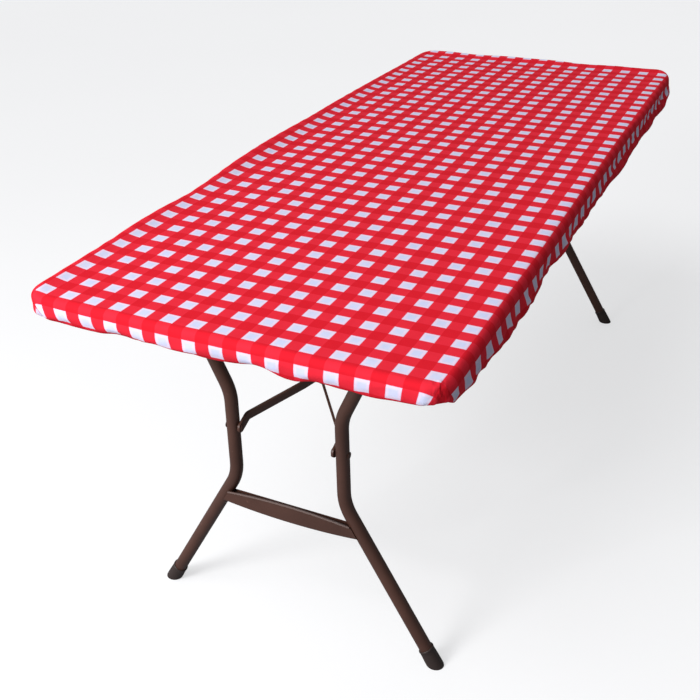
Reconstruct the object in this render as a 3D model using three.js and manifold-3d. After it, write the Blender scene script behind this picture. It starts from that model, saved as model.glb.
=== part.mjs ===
// A fitted gingham tablecloth with an elasticated hem, on a 6 ft folding banquet table.
// Millimetres, +Z up, X along the length, origin on the floor under the middle of the top.
// The table is seen from its front long side (-Y): left end is -X, right end is +X.
import * as THREE from "three";
import { mergeVertices } from "three/addons/utils/BufferGeometryUtils.js";
import Module from "manifold-3d";

// ---------------------------------------------------------------- driving dimensions
const CHECK = 25.4; // one square of the gingham
const TOP_LENGTH = 72 * CHECK; // covered top, 1828.8
const TOP_WIDTH = 30 * CHECK; // covered top, 762
const TOP_HEIGHT = 738; // cloth surface above the floor
const CORNER_RADIUS = 55; // plan radius of the covered corners
const CLOTH = 1.0; // cloth thickness in the solid
const GAP = 0.3; // between touching pieces

const BOARD_THICKNESS = 34; // moulded top at its rim
const BOARD_EDGE = 6; // rounding of the rim
const PANEL_UNDERSIDE = 713; // height of the recessed underside
const RIM_WIDTH = 36; // flat underside of the rim

const RAIL_INNER = 322; // inner face of the side rail
const RAIL_WIDTH = 18;
const RAIL_BOTTOM = 664;
const RAIL_LENGTH = 1600;
const RAIL_SHEET = 2;
const RAIL_SCREW_X = [-560, 0, 560];
const RAIL_SCREW_Y = 332;

const LEG_X = 720; // plane of each pair of legs
const PIVOT_Z = 680; // height of the crossbar, which is the fold axis
const TUBE_RADIUS = 12.7; // 1 in steel tube
const CROSSBAR_HALF = 333;
const FOOT_Y = 293; // half spread at the floor
const WAIST_Y = 113.5; // half spread of the upright stretch
const WAIST_LOW_Z = 315; // where the lower bend's legs cross
const WAIST_HIGH_Z = 498.5; // where the upper bend's legs cross
const HEAD_Y = 197; // half spread at the crossbar
const BEND_RADIUS = 100;
const CAP_RADIUS = 15.2;
const CAP_TOP = 34;

const STRETCHER_TOP = 286;
const STRETCHER_END_LOW = 252;
const STRETCHER_MID_LOW = 244;
const STRETCHER_OUT = -14; // channel depth, measured from the leg plane, outwards
const STRETCHER_IN = 6;
const STRETCHER_SHEET = 2.2;

const LOCK_PIVOT_Z = 425; // B, brace on the leg
const LOCK_PIVOT_Y = 97;
const KNEE = [-576.9, 482.3]; // J, brace on the link (x, z)
const LINK_PIVOT = [-40, 697]; // D, link on the bracket (x, z)
const STRAP_THICKNESS = 5;
const STRAP_HALF = 10; // half height of a strap
const LINK_RADIUS = 8;
const TAB_THICKNESS = 5;
const PIN_RADIUS = 3.5;
const PIN_HOLE = 3.8;
const RING_LENGTH = 20;
const RING_WALL = 2.5;
const RING_INNER = 12;
const RING_HANG = 9; // how far the loop reaches below round

// ---------------------------------------------------------------- helpers
const wasm = await Module();
wasm.setup();

function solid(geometry, matrix) {
  const g = geometry.clone();
  for (const k of Object.keys(g.attributes)) if (k !== "position") g.deleteAttribute(k);
  if (matrix) g.applyMatrix4(matrix);
  const m = mergeVertices(g, 1e-4);
  return new wasm.Manifold(
    new wasm.Mesh({
      numProp: 3,
      vertProperties: new Float32Array(m.attributes.position.array),
      triVerts: new Uint32Array(m.index.array),
    }),
  );
}

function geometryOf(s) {
  const m = s.getMesh();
  const v = new Float32Array(m.numVert * 3);
  for (let i = 0; i < m.numVert; i++)
    v.set(m.vertProperties.subarray(i * m.numProp, i * m.numProp + 3), i * 3);
  const g = new THREE.BufferGeometry();
  g.setAttribute("position", new THREE.BufferAttribute(v, 3));
  g.setIndex(new THREE.BufferAttribute(new Uint32Array(m.triVerts), 1));
  g.computeVertexNormals();
  return g;
}

const at = (x, y, z) => new THREE.Matrix4().makeTranslation(x, y, z);
const basis = (a, b, c) => new THREE.Matrix4().makeBasis(a, b, c);
const X = new THREE.Vector3(1, 0, 0);
const Y = new THREE.Vector3(0, 1, 0);
const Z = new THREE.Vector3(0, 0, 1);

// A cylinder along +Y from y0 to y1.
const rodY = (r, y0, y1, x, z, sides = 16) =>
  solid(new THREE.CylinderGeometry(r, r, y1 - y0, sides), at(x, (y0 + y1) / 2, z));

// A cylinder along +Z from z0 to z1.
const rodZ = (r, z0, z1, x, y, sides = 10) =>
  solid(
    new THREE.CylinderGeometry(r, r, z1 - z0, sides),
    at(x, y, (z0 + z1) / 2).multiply(new THREE.Matrix4().makeRotationX(Math.PI / 2)),
  );

const box = (x0, x1, y0, y1, z0, z1) =>
  solid(
    new THREE.BoxGeometry(x1 - x0, y1 - y0, z1 - z0),
    at((x0 + x1) / 2, (y0 + y1) / 2, (z0 + z1) / 2),
  );

function polygon(points) {
  return new THREE.Shape(points.map(([a, b]) => new THREE.Vector2(a, b)));
}

// A plan outline with round corners, drawn anticlockwise.
function roundRect(hx, hy, r) {
  const s = new THREE.Shape();
  s.moveTo(hx, -hy + r);
  s.lineTo(hx, hy - r);
  s.absarc(hx - r, hy - r, r, 0, Math.PI / 2);
  s.lineTo(-hx + r, hy);
  s.absarc(-hx + r, hy - r, r, Math.PI / 2, Math.PI);
  s.lineTo(-hx, -hy + r);
  s.absarc(-hx + r, -hy + r, r, Math.PI, Math.PI * 1.5);
  s.lineTo(hx - r, -hy);
  s.absarc(hx - r, -hy + r, r, Math.PI * 1.5, Math.PI * 2);
  return s;
}

// Stations round the covered edge: a point, its outward direction, and how much it belongs to a long side.
function edgeStations() {
  const hx = TOP_LENGTH / 2 - CORNER_RADIUS;
  const hy = TOP_WIDTH / 2 - CORNER_RADIUS;
  const centres = [
    [hx, hy, 0],
    [-hx, hy, 1],
    [-hx, -hy, 2],
    [hx, -hy, 3],
  ];
  const steps = 6;
  const out = [];
  for (const [cx, cy, q] of centres) {
    for (let i = 0; i <= steps; i++) {
      const a = (q + i / steps) * (Math.PI / 2);
      const nx = Math.cos(a);
      const ny = Math.sin(a);
      out.push({ cx, cy, nx, ny, side: ny * ny });
    }
    // one more point halfway along the straight that follows
    const a = (q + 1) * (Math.PI / 2);
    const nx = Math.round(Math.cos(a));
    const ny = Math.round(Math.sin(a));
    out.push({ cx: ny ? 0 : cx, cy: nx ? 0 : cy, nx, ny, side: ny * ny });
  }
  return out;
}

// Rings of points round the edge, one for each profile point [end offset, end z, side offset, side z].
function edgeRings(profile) {
  const stations = edgeStations();
  return profile.map(([eo, ez, so, sz]) =>
    stations.map(({ cx, cy, nx, ny, side }) => {
      const r = CORNER_RADIUS + eo + (so - eo) * side;
      return [cx + nx * r, cy + ny * r, ez + (sz - ez) * side];
    }),
  );
}

// Skin between rings; closed=true joins the last ring to the first, else both ends are capped.
function skin(rings, closed) {
  const n = rings[0].length;
  const position = [];
  const index = [];
  for (const ring of rings) for (const p of ring) position.push(...p);
  const last = closed ? rings.length : rings.length - 1;
  for (let k = 0; k < last; k++) {
    const a = k * n;
    const b = ((k + 1) % rings.length) * n;
    for (let i = 0; i < n; i++) {
      const j = (i + 1) % n;
      index.push(a + i, b + i, b + j, a + i, b + j, a + j);
    }
  }
  if (!closed) {
    for (const [k, turn] of [
      [0, false],
      [rings.length - 1, true],
    ]) {
      const ring = rings[k];
      const flat = ring.map(([x, y]) => new THREE.Vector2(x, y));
      for (const [a, b, c] of THREE.ShapeUtils.triangulateShape(flat, []))
        index.push(k * n + a, k * n + (turn ? c : b), k * n + (turn ? b : c));
    }
  }
  const g = new THREE.BufferGeometry();
  g.setAttribute("position", new THREE.Float32BufferAttribute(position, 3));
  g.setIndex(index);
  return g;
}

// A centreline of straights joined by arcs of the given radius.
class Bent extends THREE.CurvePath {
  constructor(points, radius) {
    super();
    const p = points.map((q) => new THREE.Vector3(...q));
    let from = p[0];
    for (let i = 1; i < p.length - 1; i++) {
      const u = p[i].clone().sub(p[i - 1]).normalize();
      const v = p[i + 1].clone().sub(p[i]).normalize();
      const turn = u.angleTo(v);
      const t = radius * Math.tan(turn / 2);
      const a = p[i].clone().addScaledVector(u, -t);
      const b = p[i].clone().addScaledVector(v, t);
      this.add(new THREE.LineCurve3(from, a));
      this.add(new Arc3(a, u, b, v, radius, turn));
      from = b;
    }
    this.add(new THREE.LineCurve3(from, p[p.length - 1]));
  }
}
class Arc3 extends THREE.Curve {
  constructor(a, u, b, v, radius, turn) {
    super();
    const side = v.clone().addScaledVector(u, -v.dot(u)).normalize();
    Object.assign(this, { a, u, side, radius, turn });
  }
  getPoint(t, target = new THREE.Vector3()) {
    const w = this.turn * t;
    return target
      .copy(this.a)
      .addScaledVector(this.u, this.radius * Math.sin(w))
      .addScaledVector(this.side, this.radius * (1 - Math.cos(w)));
  }
}

function discShape(r, sides) {
  const pts = [];
  for (let i = 0; i < sides; i++) {
    const a = ((i + 0.5) / sides) * Math.PI * 2;
    pts.push([r * Math.cos(a), r * Math.sin(a)]);
  }
  return polygon(pts);
}

function tubeAlong(path, r, steps, sides = 12) {
  return new THREE.ExtrudeGeometry(discShape(r, sides), {
    steps,
    bevelEnabled: false,
    extrudePath: path,
  });
}

// Turned about +Y: profile points are [radius, y], starting and ending on the axis or closed on themselves.
const turned = (profile, segments = 20) =>
  new THREE.LatheGeometry(
    profile.map(([r, y]) => new THREE.Vector2(r, y)),
    segments,
  );

// ---------------------------------------------------------------- materials
const paint = (color, roughness, metalness) =>
  new THREE.MeshStandardMaterial({ color, roughness, metalness });
const gingham = () => paint(0xe8283a, 0.85, 0.0);
const hemCloth = () => paint(0xc41e30, 0.9, 0.0);
const elasticWhite = () => paint(0xe6e2da, 0.8, 0.0);
const moulded = () => paint(0xdedcd4, 0.55, 0.0);
const powderCoat = () => paint(0x4b3731, 0.45, 0.3);
const zinc = () => paint(0x9a9a98, 0.35, 0.9);
const nylon = () => paint(0x2a2524, 0.6, 0.0);

const model = new THREE.Group();
function piece(parent, name, geometry, material) {
  const m = new THREE.Mesh(geometry, material);
  m.name = name;
  parent.add(m);
  return m;
}

// ---------------------------------------------------------------- cloth
const Zt = TOP_HEIGHT;
// [offset and height on the ends, offset and height on the long sides]; offsets are outwards from the nominal edge
const clothProfile = [
  [-7, Zt, -7, Zt],
  [-2, Zt - 1.4, -2, Zt - 1.4],
  [0, Zt - 7, 0, Zt - 7],
  [2, 718, 5, 712],
  [3, 706, 8, 694],
  [1, 699, 5, 684],
  [-6, 696, -4, 680],
  [-26, 697.5, -26, 688],
  [-26, 697.5 + CLOTH, -26, 688 + CLOTH],
  [-6, 696 + CLOTH, -4.4, 680 + CLOTH],
  [0.1, 699.6, 4.1, 684.6],
  [2, 706, 7, 694],
  [1, 717.9, 4, 711.9],
  [-1, Zt - 6.7, -1, Zt - 6.7],
  [-2.8, Zt - 2.2, -2.8, Zt - 2.2],
  [-7, Zt - CLOTH, -7, Zt - CLOTH],
];
piece(model, "tablecloth", skin(edgeRings(clothProfile), false), gingham());

// folded hem: a casing of cloth with a slot along its inner edge, round the elastic
const HEM_INSET = 31;
const HEM_END_Z = 698;
const HEM_SIDE_Z = 689.5;
const casing = [];
for (let i = 0; i <= 5; i++) {
  const a = THREE.MathUtils.degToRad(-145 + 58 * i);
  casing.push([4.2 * Math.cos(a), 4.2 * Math.sin(a)]);
}
for (let i = 5; i >= 0; i--) {
  const a = THREE.MathUtils.degToRad(-145 + 58 * i);
  casing.push([3.2 * Math.cos(a), 3.2 * Math.sin(a)]);
}
const round = (section) =>
  section.map(([o, z]) => [o - HEM_INSET, z + HEM_END_Z, o - HEM_INSET, z + HEM_SIDE_Z]);
// both sections run anticlockwise in (outward, up), so they are reversed to face out
piece(model, "hem_casing", skin(edgeRings(round(casing).reverse()), true), hemCloth());
const cord = [];
for (let i = 0; i < 6; i++) {
  const a = (i / 6) * Math.PI * 2;
  cord.push([1.8 * Math.cos(a), 1.8 * Math.sin(a)]);
}
piece(model, "hem_elastic", skin(edgeRings(round(cord).reverse()), true), elasticWhite());

// ---------------------------------------------------------------- moulded top
{
  const hx = TOP_LENGTH / 2 - CLOTH - GAP;
  const hy = TOP_WIDTH / 2 - CLOTH - GAP;
  const top = TOP_HEIGHT - CLOTH - GAP;
  const bottom = top - BOARD_THICKNESS;
  let board = solid(
    new THREE.ExtrudeGeometry(roundRect(hx, hy, CORNER_RADIUS - CLOTH - GAP), {
      depth: BOARD_THICKNESS - 2 * BOARD_EDGE,
      bevelEnabled: true,
      bevelThickness: BOARD_EDGE,
      bevelSize: BOARD_EDGE,
      bevelOffset: -BOARD_EDGE,
      bevelSegments: 2,
      curveSegments: 3,
    }),
    at(0, 0, bottom + BOARD_EDGE),
  );
  const recess = solid(
    new THREE.ExtrudeGeometry(roundRect(hx - RIM_WIDTH, hy - RIM_WIDTH, 30), {
      depth: PANEL_UNDERSIDE - bottom + 5,
      bevelEnabled: false,
      curveSegments: 4,
    }),
    at(0, 0, bottom - 5),
  );
  board = board.subtract(recess);
  for (const x of RAIL_SCREW_X)
    for (const s of [-1, 1])
      board = board.subtract(
        rodZ(2.8, PANEL_UNDERSIDE - 1, PANEL_UNDERSIDE + 9, x, s * RAIL_SCREW_Y, 8),
      );
  for (const s of [-1, 1])
    for (const o of [-19, 19])
      board = board.subtract(
        rodZ(2.8, PANEL_UNDERSIDE - 1, PANEL_UNDERSIDE + 9, s * 40 + o, 0, 8),
      );
  piece(model, "tabletop", geometryOf(board), moulded());
}

// ---------------------------------------------------------------- side rails and their screws
const RAIL_TOP = PANEL_UNDERSIDE - GAP;
function sideRail() {
  const i = RAIL_INNER;
  const o = RAIL_INNER + RAIL_WIDTH;
  const t = RAIL_SHEET;
  const c = polygon([
    [i, RAIL_BOTTOM],
    [o, RAIL_BOTTOM],
    [o, RAIL_BOTTOM + t],
    [i + t, RAIL_BOTTOM + t],
    [i + t, RAIL_TOP - t],
    [o, RAIL_TOP - t],
    [o, RAIL_TOP],
    [i, RAIL_TOP],
  ]);
  let rail = solid(
    new THREE.ExtrudeGeometry(c, { depth: RAIL_LENGTH, bevelEnabled: false }),
    at(-RAIL_LENGTH / 2, 0, 0).multiply(basis(Y, Z, X)),
  );
  for (const x of [-LEG_X, LEG_X])
    rail = rail.subtract(rodY(15.6, i - 5, i + 8, x, PIVOT_Z, 20));
  for (const x of RAIL_SCREW_X)
    rail = rail.subtract(rodZ(3, RAIL_TOP - 5, RAIL_TOP + 5, x, RAIL_SCREW_Y, 8));
  return geometryOf(rail);
}
const railGeometry = sideRail();
piece(model, "side_rail_back", railGeometry, powderCoat());
piece(model, "side_rail_front", railGeometry, powderCoat()).rotation.z = Math.PI;

function screw() {
  // turned about the axis, head down
  const g = turned(
    [
      [0, -2.9],
      [3.2, -2.3],
      [4.5, 0],
      [2.3, 0],
      [2.3, 9],
      [0, 10.5],
    ],
    8,
  );
  return g.applyMatrix4(basis(X, Z, Y.clone().negate()));
}
const screwGeometry = screw();
RAIL_SCREW_X.forEach((x, i) => {
  for (const [s, where] of [
    [-1, "front"],
    [1, "back"],
  ])
    piece(model, `rail_screw_${where}_${i + 1}`, screwGeometry, zinc()).position.set(
      x,
      s * RAIL_SCREW_Y,
      RAIL_TOP - RAIL_SHEET - GAP,
    );
});

// ---------------------------------------------------------------- one end: the left one is drawn, the right one is the same turned half round
const linkAngle = Math.atan2(LINK_PIVOT[1] - KNEE[1], LINK_PIVOT[0] - KNEE[0]);
const linkLength = Math.hypot(LINK_PIVOT[0] - KNEE[0], LINK_PIVOT[1] - KNEE[1]);
const braceLength = Math.hypot(KNEE[0] + LEG_X, KNEE[1] - LOCK_PIVOT_Z);

// Along the line through brace and link: s runs up the slope, t is square to it.
function onSlope(x, z) {
  return at(x, 0, z).multiply(new THREE.Matrix4().makeRotationY(-linkAngle));
}

function legCentreline(s) {
  return [
    [-LEG_X, s * FOOT_Y, 0],
    [-LEG_X, s * WAIST_Y, WAIST_LOW_Z],
    [-LEG_X, s * WAIST_Y, WAIST_HIGH_Z],
    [-LEG_X, s * HEAD_Y, PIVOT_Z],
  ];
}

function alongFoot(s, up) {
  // a point on the lowest straight of a leg, at height up
  const k = (FOOT_Y - WAIST_Y) / WAIST_LOW_Z;
  return [-LEG_X, s * (FOOT_Y - k * up), up];
}

function legTube(s) {
  const line = legCentreline(s);
  line[0] = alongFoot(s, -12);
  let tube = solid(tubeAlong(new Bent(line, BEND_RADIUS), TUBE_RADIUS, 28, 10));
  tube = tube.subtract(box(-LEG_X - 40, -LEG_X + 40, -400, 400, -40, 7));
  tube = tube.subtract(rodY(TUBE_RADIUS + GAP, -340, 340, -LEG_X, PIVOT_Z, 24));
  return geometryOf(tube);
}

function footCap(s) {
  const low = alongFoot(s, -30);
  const high = alongFoot(s, CAP_TOP);
  const way = new THREE.LineCurve3(new THREE.Vector3(...low), new THREE.Vector3(...high));
  let cap = solid(tubeAlong(way, CAP_RADIUS, 1, 14));
  const bore = new THREE.LineCurve3(
    new THREE.Vector3(...alongFoot(s, -30)),
    new THREE.Vector3(...alongFoot(s, CAP_TOP + 10)),
  );
  const hole = solid(tubeAlong(bore, TUBE_RADIUS + GAP + 0.3, 1, 14)).subtract(
    box(-LEG_X - 60, -LEG_X + 60, -500, 500, -60, 6.5),
  );
  cap = cap.subtract(hole);
  cap = cap.subtract(box(-LEG_X - 60, -LEG_X + 60, -500, 500, -60, 0));
  return geometryOf(cap);
}

function stretcher() {
  const yAt = (z) => FOOT_Y - ((FOOT_Y - WAIST_Y) / WAIST_LOW_Z) * z - 8;
  const lower = (lift) => {
    const pts = [];
    const yEnd = yAt(STRETCHER_END_LOW);
    for (let i = 0; i <= 12; i++) {
      const y = -yEnd + (2 * yEnd * i) / 12;
      const bow = 1 - (y / yEnd) ** 2;
      pts.push([y, STRETCHER_END_LOW + (STRETCHER_MID_LOW - STRETCHER_END_LOW) * bow + lift]);
    }
    return pts;
  };
  const outer = polygon([
    ...lower(0),
    [yAt(STRETCHER_TOP), STRETCHER_TOP],
    [-yAt(STRETCHER_TOP), STRETCHER_TOP],
  ]);
  const wide = lower(STRETCHER_SHEET);
  wide[0][0] -= 40;
  wide[wide.length - 1][0] += 40;
  const inner = polygon([...wide, [200, STRETCHER_TOP + 20], [-200, STRETCHER_TOP + 20]]);
  const depth = STRETCHER_IN - STRETCHER_OUT;
  let body = solid(
    new THREE.ExtrudeGeometry(outer, { depth, bevelEnabled: false }),
    at(-LEG_X + STRETCHER_OUT, 0, 0).multiply(basis(Y, Z, X)),
  );
  body = body.subtract(
    solid(
      new THREE.ExtrudeGeometry(inner, {
        depth: depth - 2 * STRETCHER_SHEET,
        bevelEnabled: false,
      }),
      at(-LEG_X + STRETCHER_OUT + STRETCHER_SHEET, 0, 0).multiply(basis(Y, Z, X)),
    ),
  );
  for (const s of [-1, 1]) {
    // room for the legs, whose straight runs just past the top edge
    const way = new THREE.LineCurve3(
      new THREE.Vector3(...alongFoot(s, STRETCHER_END_LOW - 30)),
      new THREE.Vector3(...alongFoot(s, STRETCHER_TOP + 20)),
    );
    body = body.subtract(solid(tubeAlong(way, TUBE_RADIUS + 0.8, 1, 16)));
  }
  return geometryOf(body);
}

// Rivet head turned about Y: its flat back at y=0, its dome towards +Y.
const rivetHead = turned(
  [
    [0, 0],
    [7, 0],
    [6.6, 1.4],
    [4.2, 2.7],
    [0, 3.1],
  ],
  10,
);

// A pin with a head at each end, turned about Y.
function pin(half, head) {
  return turned(
    [
      [0, -half - head],
      [4, -half - head],
      [5, -half - head * 0.6],
      [5, -half],
      [PIN_RADIUS, -half],
      [PIN_RADIUS, half],
      [5, half],
      [5, half + head * 0.6],
      [4, half + head],
      [0, half + head],
    ],
    10,
  );
}

function braceArm(s) {
  const kneeY = TAB_THICKNESS / 2 + 0.5 + STRAP_THICKNESS / 2;
  const mid = [
    [-12, LOCK_PIVOT_Y],
    [34.5, LOCK_PIVOT_Y],
    [braceLength - 11, kneeY],
    [braceLength + 10, kneeY],
  ];
  // offset the centreline to both faces with mitred corners
  const h = STRAP_THICKNESS / 2;
  const face = (sign) =>
    mid.map((p, i) => {
      const a = mid[Math.max(i - 1, 0)];
      const b = mid[Math.min(i + 1, mid.length - 1)];
      const d1 = new THREE.Vector2(p[0] - a[0], p[1] - a[1]).normalize();
      const d2 = new THREE.Vector2(b[0] - p[0], b[1] - p[1]).normalize();
      if (i === 0) d1.copy(d2);
      if (i === mid.length - 1) d2.copy(d1);
      const n = new THREE.Vector2(-d1.y - d2.y, d1.x + d2.x).normalize();
      const k = h / Math.max(0.3, n.dot(new THREE.Vector2(-d1.y, d1.x)));
      return [p[0] + sign * n.x * k, p[1] + sign * n.y * k];
    });
  let plan = [...face(-1), ...face(1).reverse()];
  if (s < 0) plan = plan.map(([a, b]) => [a, -b]).reverse();
  const strip = solid(
    new THREE.ExtrudeGeometry(polygon(plan), { depth: 40, bevelEnabled: false }),
    at(0, 0, -20),
  );
  // side outline: round at both pivots, narrower at the knee
  const outline = [];
  for (let i = 0; i <= 8; i++) {
    const a = Math.PI / 2 + (Math.PI * i) / 8;
    outline.push([STRAP_HALF * Math.cos(a), STRAP_HALF * Math.sin(a)]);
  }
  outline.push([braceLength - 34, -STRAP_HALF], [braceLength - 16, -LINK_RADIUS]);
  for (let i = 0; i <= 8; i++) {
    const a = -Math.PI / 2 + (Math.PI * i) / 8;
    outline.push([braceLength + LINK_RADIUS * Math.cos(a), LINK_RADIUS * Math.sin(a)]);
  }
  outline.push([braceLength - 16, LINK_RADIUS], [braceLength - 34, STRAP_HALF]);
  const profile = solid(
    new THREE.ExtrudeGeometry(polygon(outline), { depth: 240, bevelEnabled: false }),
    at(0, 120, 0).multiply(basis(X, Z, Y.clone().negate())),
  );
  let arm = strip.intersect(profile);
  arm = arm.subtract(rodY(PIN_HOLE, -20, 20, braceLength, 0, 16));
  return arm;
}

function linkBar() {
  const tab = (x, end) => {
    const pts = [];
    for (let i = 0; i <= 8; i++) {
      const a = Math.PI / 2 + (Math.PI * i) / 8;
      pts.push([LINK_RADIUS * Math.cos(a), LINK_RADIUS * Math.sin(a)]);
    }
    pts.push([36, -LINK_RADIUS * 0.98], [36, LINK_RADIUS * 0.98]);
    const shape = polygon(
      end > 0 ? pts : pts.map(([a, b]) => [-a, b]).reverse(),
    );
    return solid(
      new THREE.ExtrudeGeometry(shape, { depth: TAB_THICKNESS, bevelEnabled: false }),
      at(x, TAB_THICKNESS / 2, 0).multiply(basis(X, Z, Y.clone().negate())),
    );
  };
  const rod = solid(
    new THREE.CylinderGeometry(LINK_RADIUS, LINK_RADIUS, linkLength - 56, 16),
    at(linkLength / 2, 0, 0).multiply(new THREE.Matrix4().makeRotationZ(Math.PI / 2)),
  );
  let bar = rod.add(tab(0, 1)).add(tab(linkLength, -1));
  for (const x of [0, linkLength]) bar = bar.subtract(rodY(PIN_HOLE, -20, 20, x, 0, 16));
  return geometryOf(bar);
}

function lockRing() {
  const loop = (r) => {
    const pts = [];
    for (let i = 0; i <= 10; i++) {
      const a = (Math.PI * i) / 10;
      pts.push([r * Math.cos(a), -0.5 + r * Math.sin(a)]);
    }
    for (let i = 0; i <= 10; i++) {
      const a = Math.PI + (Math.PI * i) / 10;
      pts.push([r * Math.cos(a), -RING_HANG + 4 + r * Math.sin(a)]);
    }
    return pts;
  };
  const shape = polygon(loop(RING_INNER + RING_WALL));
  shape.holes.push(new THREE.Path(loop(RING_INNER).map(([a, b]) => new THREE.Vector2(a, b))));
  return new THREE.ExtrudeGeometry(shape, { depth: RING_LENGTH, bevelEnabled: false }).applyMatrix4(
    basis(Y, Z, X),
  );
}

function bracket() {
  const top = PANEL_UNDERSIDE - GAP;
  let b = box(-28, 28, -13, 13, top - 2.3, top);
  for (const s of [-1, 1]) {
    const y0 = s > 0 ? 3.1 : -5.3;
    b = b.add(box(-9, 9, y0, y0 + 2.2, LINK_PIVOT[1], top - 1));
    b = b.add(rodY(9, y0, y0 + 2.2, 0, LINK_PIVOT[1], 20));
  }
  b = b.subtract(rodY(PIN_HOLE, -20, 20, 0, LINK_PIVOT[1], 16));
  for (const o of [-19, 19]) b = b.subtract(rodZ(3, top - 6, top + 3, o, 0, 12));
  return geometryOf(b);
}

const bush = turned(
  [
    [13.2, 0],
    [18, 0],
    [18, 1.9],
    [15, 1.9],
    [15, 6.5],
    [13.2, 6.5],
    [13.2, 0],
  ],
  20,
);

const crossbarGeometry = geometryOf(
  rodY(TUBE_RADIUS, -CROSSBAR_HALF, CROSSBAR_HALF, -LEG_X, PIVOT_Z, 20),
);
const tubeGeometry = { front: legTube(-1), back: legTube(1) };
const capGeometry = { front: footCap(-1), back: footCap(1) };
const stretcherGeometry = stretcher();
const armGeometry = { front: geometryOf(braceArm(-1)), back: geometryOf(braceArm(1)) };
const linkGeometry = linkBar();
const ringGeometry = lockRing();
const bracketGeometry = bracket();

for (const end of ["left", "right"]) {
  const half = new THREE.Group();
  half.rotation.z = end === "left" ? 0 : Math.PI;
  model.add(half);
  // turning half round swaps front and back, so the pieces keep the side they are on
  const named = { front: end === "left" ? "front" : "back", back: end === "left" ? "back" : "front" };

  piece(half, `leg_crossbar_${end}`, crossbarGeometry, powderCoat());
  piece(half, `leg_stretcher_${end}`, stretcherGeometry, powderCoat());
  for (const [side, s] of [
    ["front", -1],
    ["back", 1],
  ]) {
    piece(half, `leg_tube_${end}_${named[side]}`, tubeGeometry[side], powderCoat());
    piece(half, `foot_cap_${end}_${named[side]}`, capGeometry[side], nylon());
    const outside = piece(half, `leg_rivet_${end}_${named[side]}`, rivetHead, powderCoat());
    outside.position.set(-LEG_X, s * (WAIST_Y + TUBE_RADIUS + GAP), LOCK_PIVOT_Z);
    if (s < 0) outside.rotation.z = Math.PI;
    const ringBush = piece(half, `crossbar_bush_${end}_${named[side]}`, bush, nylon());
    ringBush.position.set(-LEG_X, s * (RAIL_INNER - 2.2), PIVOT_Z);
    if (s < 0) ringBush.rotation.z = Math.PI;
  }

  const brace = new THREE.Group();
  brace.applyMatrix4(onSlope(-LEG_X, LOCK_PIVOT_Z));
  half.add(brace);
  for (const [side, s] of [
    ["front", -1],
    ["back", 1],
  ]) {
    piece(brace, `brace_arm_${end}_${named[side]}`, armGeometry[side], powderCoat());
    const inside = piece(brace, `brace_rivet_${end}_${named[side]}`, rivetHead, powderCoat());
    inside.position.set(0, s * (LOCK_PIVOT_Y - STRAP_THICKNESS / 2 - GAP), 0);
    if (s > 0) inside.rotation.z = Math.PI;
  }

  const link = new THREE.Group();
  link.applyMatrix4(onSlope(KNEE[0], KNEE[1]));
  half.add(link);
  piece(link, `brace_link_${end}`, linkGeometry, powderCoat());
  piece(link, `knee_pin_${end}`, pin(8.3, 2), zinc());
  piece(link, `lock_ring_${end}`, ringGeometry, powderCoat()).position.x = -6;

  const mountBracket = new THREE.Group();
  mountBracket.position.set(LINK_PIVOT[0], 0, 0);
  half.add(mountBracket);
  piece(mountBracket, `link_bracket_${end}`, bracketGeometry, zinc());
  piece(mountBracket, `bracket_pin_${end}`, pin(5.6, 2), zinc()).position.z = LINK_PIVOT[1];
  [-19, 19].forEach((o, i) =>
    piece(mountBracket, `bracket_screw_${end}_${i + 1}`, screwGeometry, zinc()).position.set(
      o,
      0,
      PANEL_UNDERSIDE - GAP - 2.3 - GAP,
    ),
  );
}

export default model;
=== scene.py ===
import bpy
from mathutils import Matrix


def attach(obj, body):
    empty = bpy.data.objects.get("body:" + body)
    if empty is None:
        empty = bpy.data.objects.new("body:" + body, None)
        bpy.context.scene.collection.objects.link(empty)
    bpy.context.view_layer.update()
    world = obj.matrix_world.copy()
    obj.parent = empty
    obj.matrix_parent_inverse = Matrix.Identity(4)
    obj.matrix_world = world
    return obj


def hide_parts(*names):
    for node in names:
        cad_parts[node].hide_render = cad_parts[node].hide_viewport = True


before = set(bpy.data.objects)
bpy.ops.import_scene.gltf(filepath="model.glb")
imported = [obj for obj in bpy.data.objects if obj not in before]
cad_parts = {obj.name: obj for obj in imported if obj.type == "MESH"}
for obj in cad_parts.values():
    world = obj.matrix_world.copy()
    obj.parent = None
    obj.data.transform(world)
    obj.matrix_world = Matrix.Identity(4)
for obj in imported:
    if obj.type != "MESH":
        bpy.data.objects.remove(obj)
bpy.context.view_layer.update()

import bpy
import math
import numpy as np
from mathutils import Matrix, Vector
from mathutils.geometry import delaunay_2d_cdt

scene = bpy.context.scene
scene.view_settings.view_transform = "Standard"
scene.view_settings.look = "None"


# ------------------------------------------------------------------ camera, floor and light
def put(obj):
    scene.collection.objects.link(obj)
    return obj


cam_data = bpy.data.cameras.new("view")
cam = put(bpy.data.objects.new("view", cam_data))
right = Vector((0.4220406, -0.9063192, -0.0216163))
down = Vector((-0.3715955, -0.1511925, -0.9160010))
ahead = Vector((0.8269211, 0.3946222, -0.4005931))
m = Matrix.Identity(4)
for i in range(3):
    m[i][0], m[i][1], m[i][2] = right[i], -down[i], -ahead[i]
m[0][3], m[1][3], m[2][3] = -2.0401467, -0.7891321, 1.5071016
cam.matrix_world = m
cam_data.sensor_width = 36
cam_data.lens = 36 * 1007.5 / 700
cam_data.shift_x = -0.01519
cam_data.shift_y = -0.17143
cam_data.clip_end = 100
scene.camera = cam


def nodes_of(mat):
    mat.use_nodes = True
    nt = mat.node_tree
    return nt, nt.nodes["Principled BSDF"]


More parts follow.
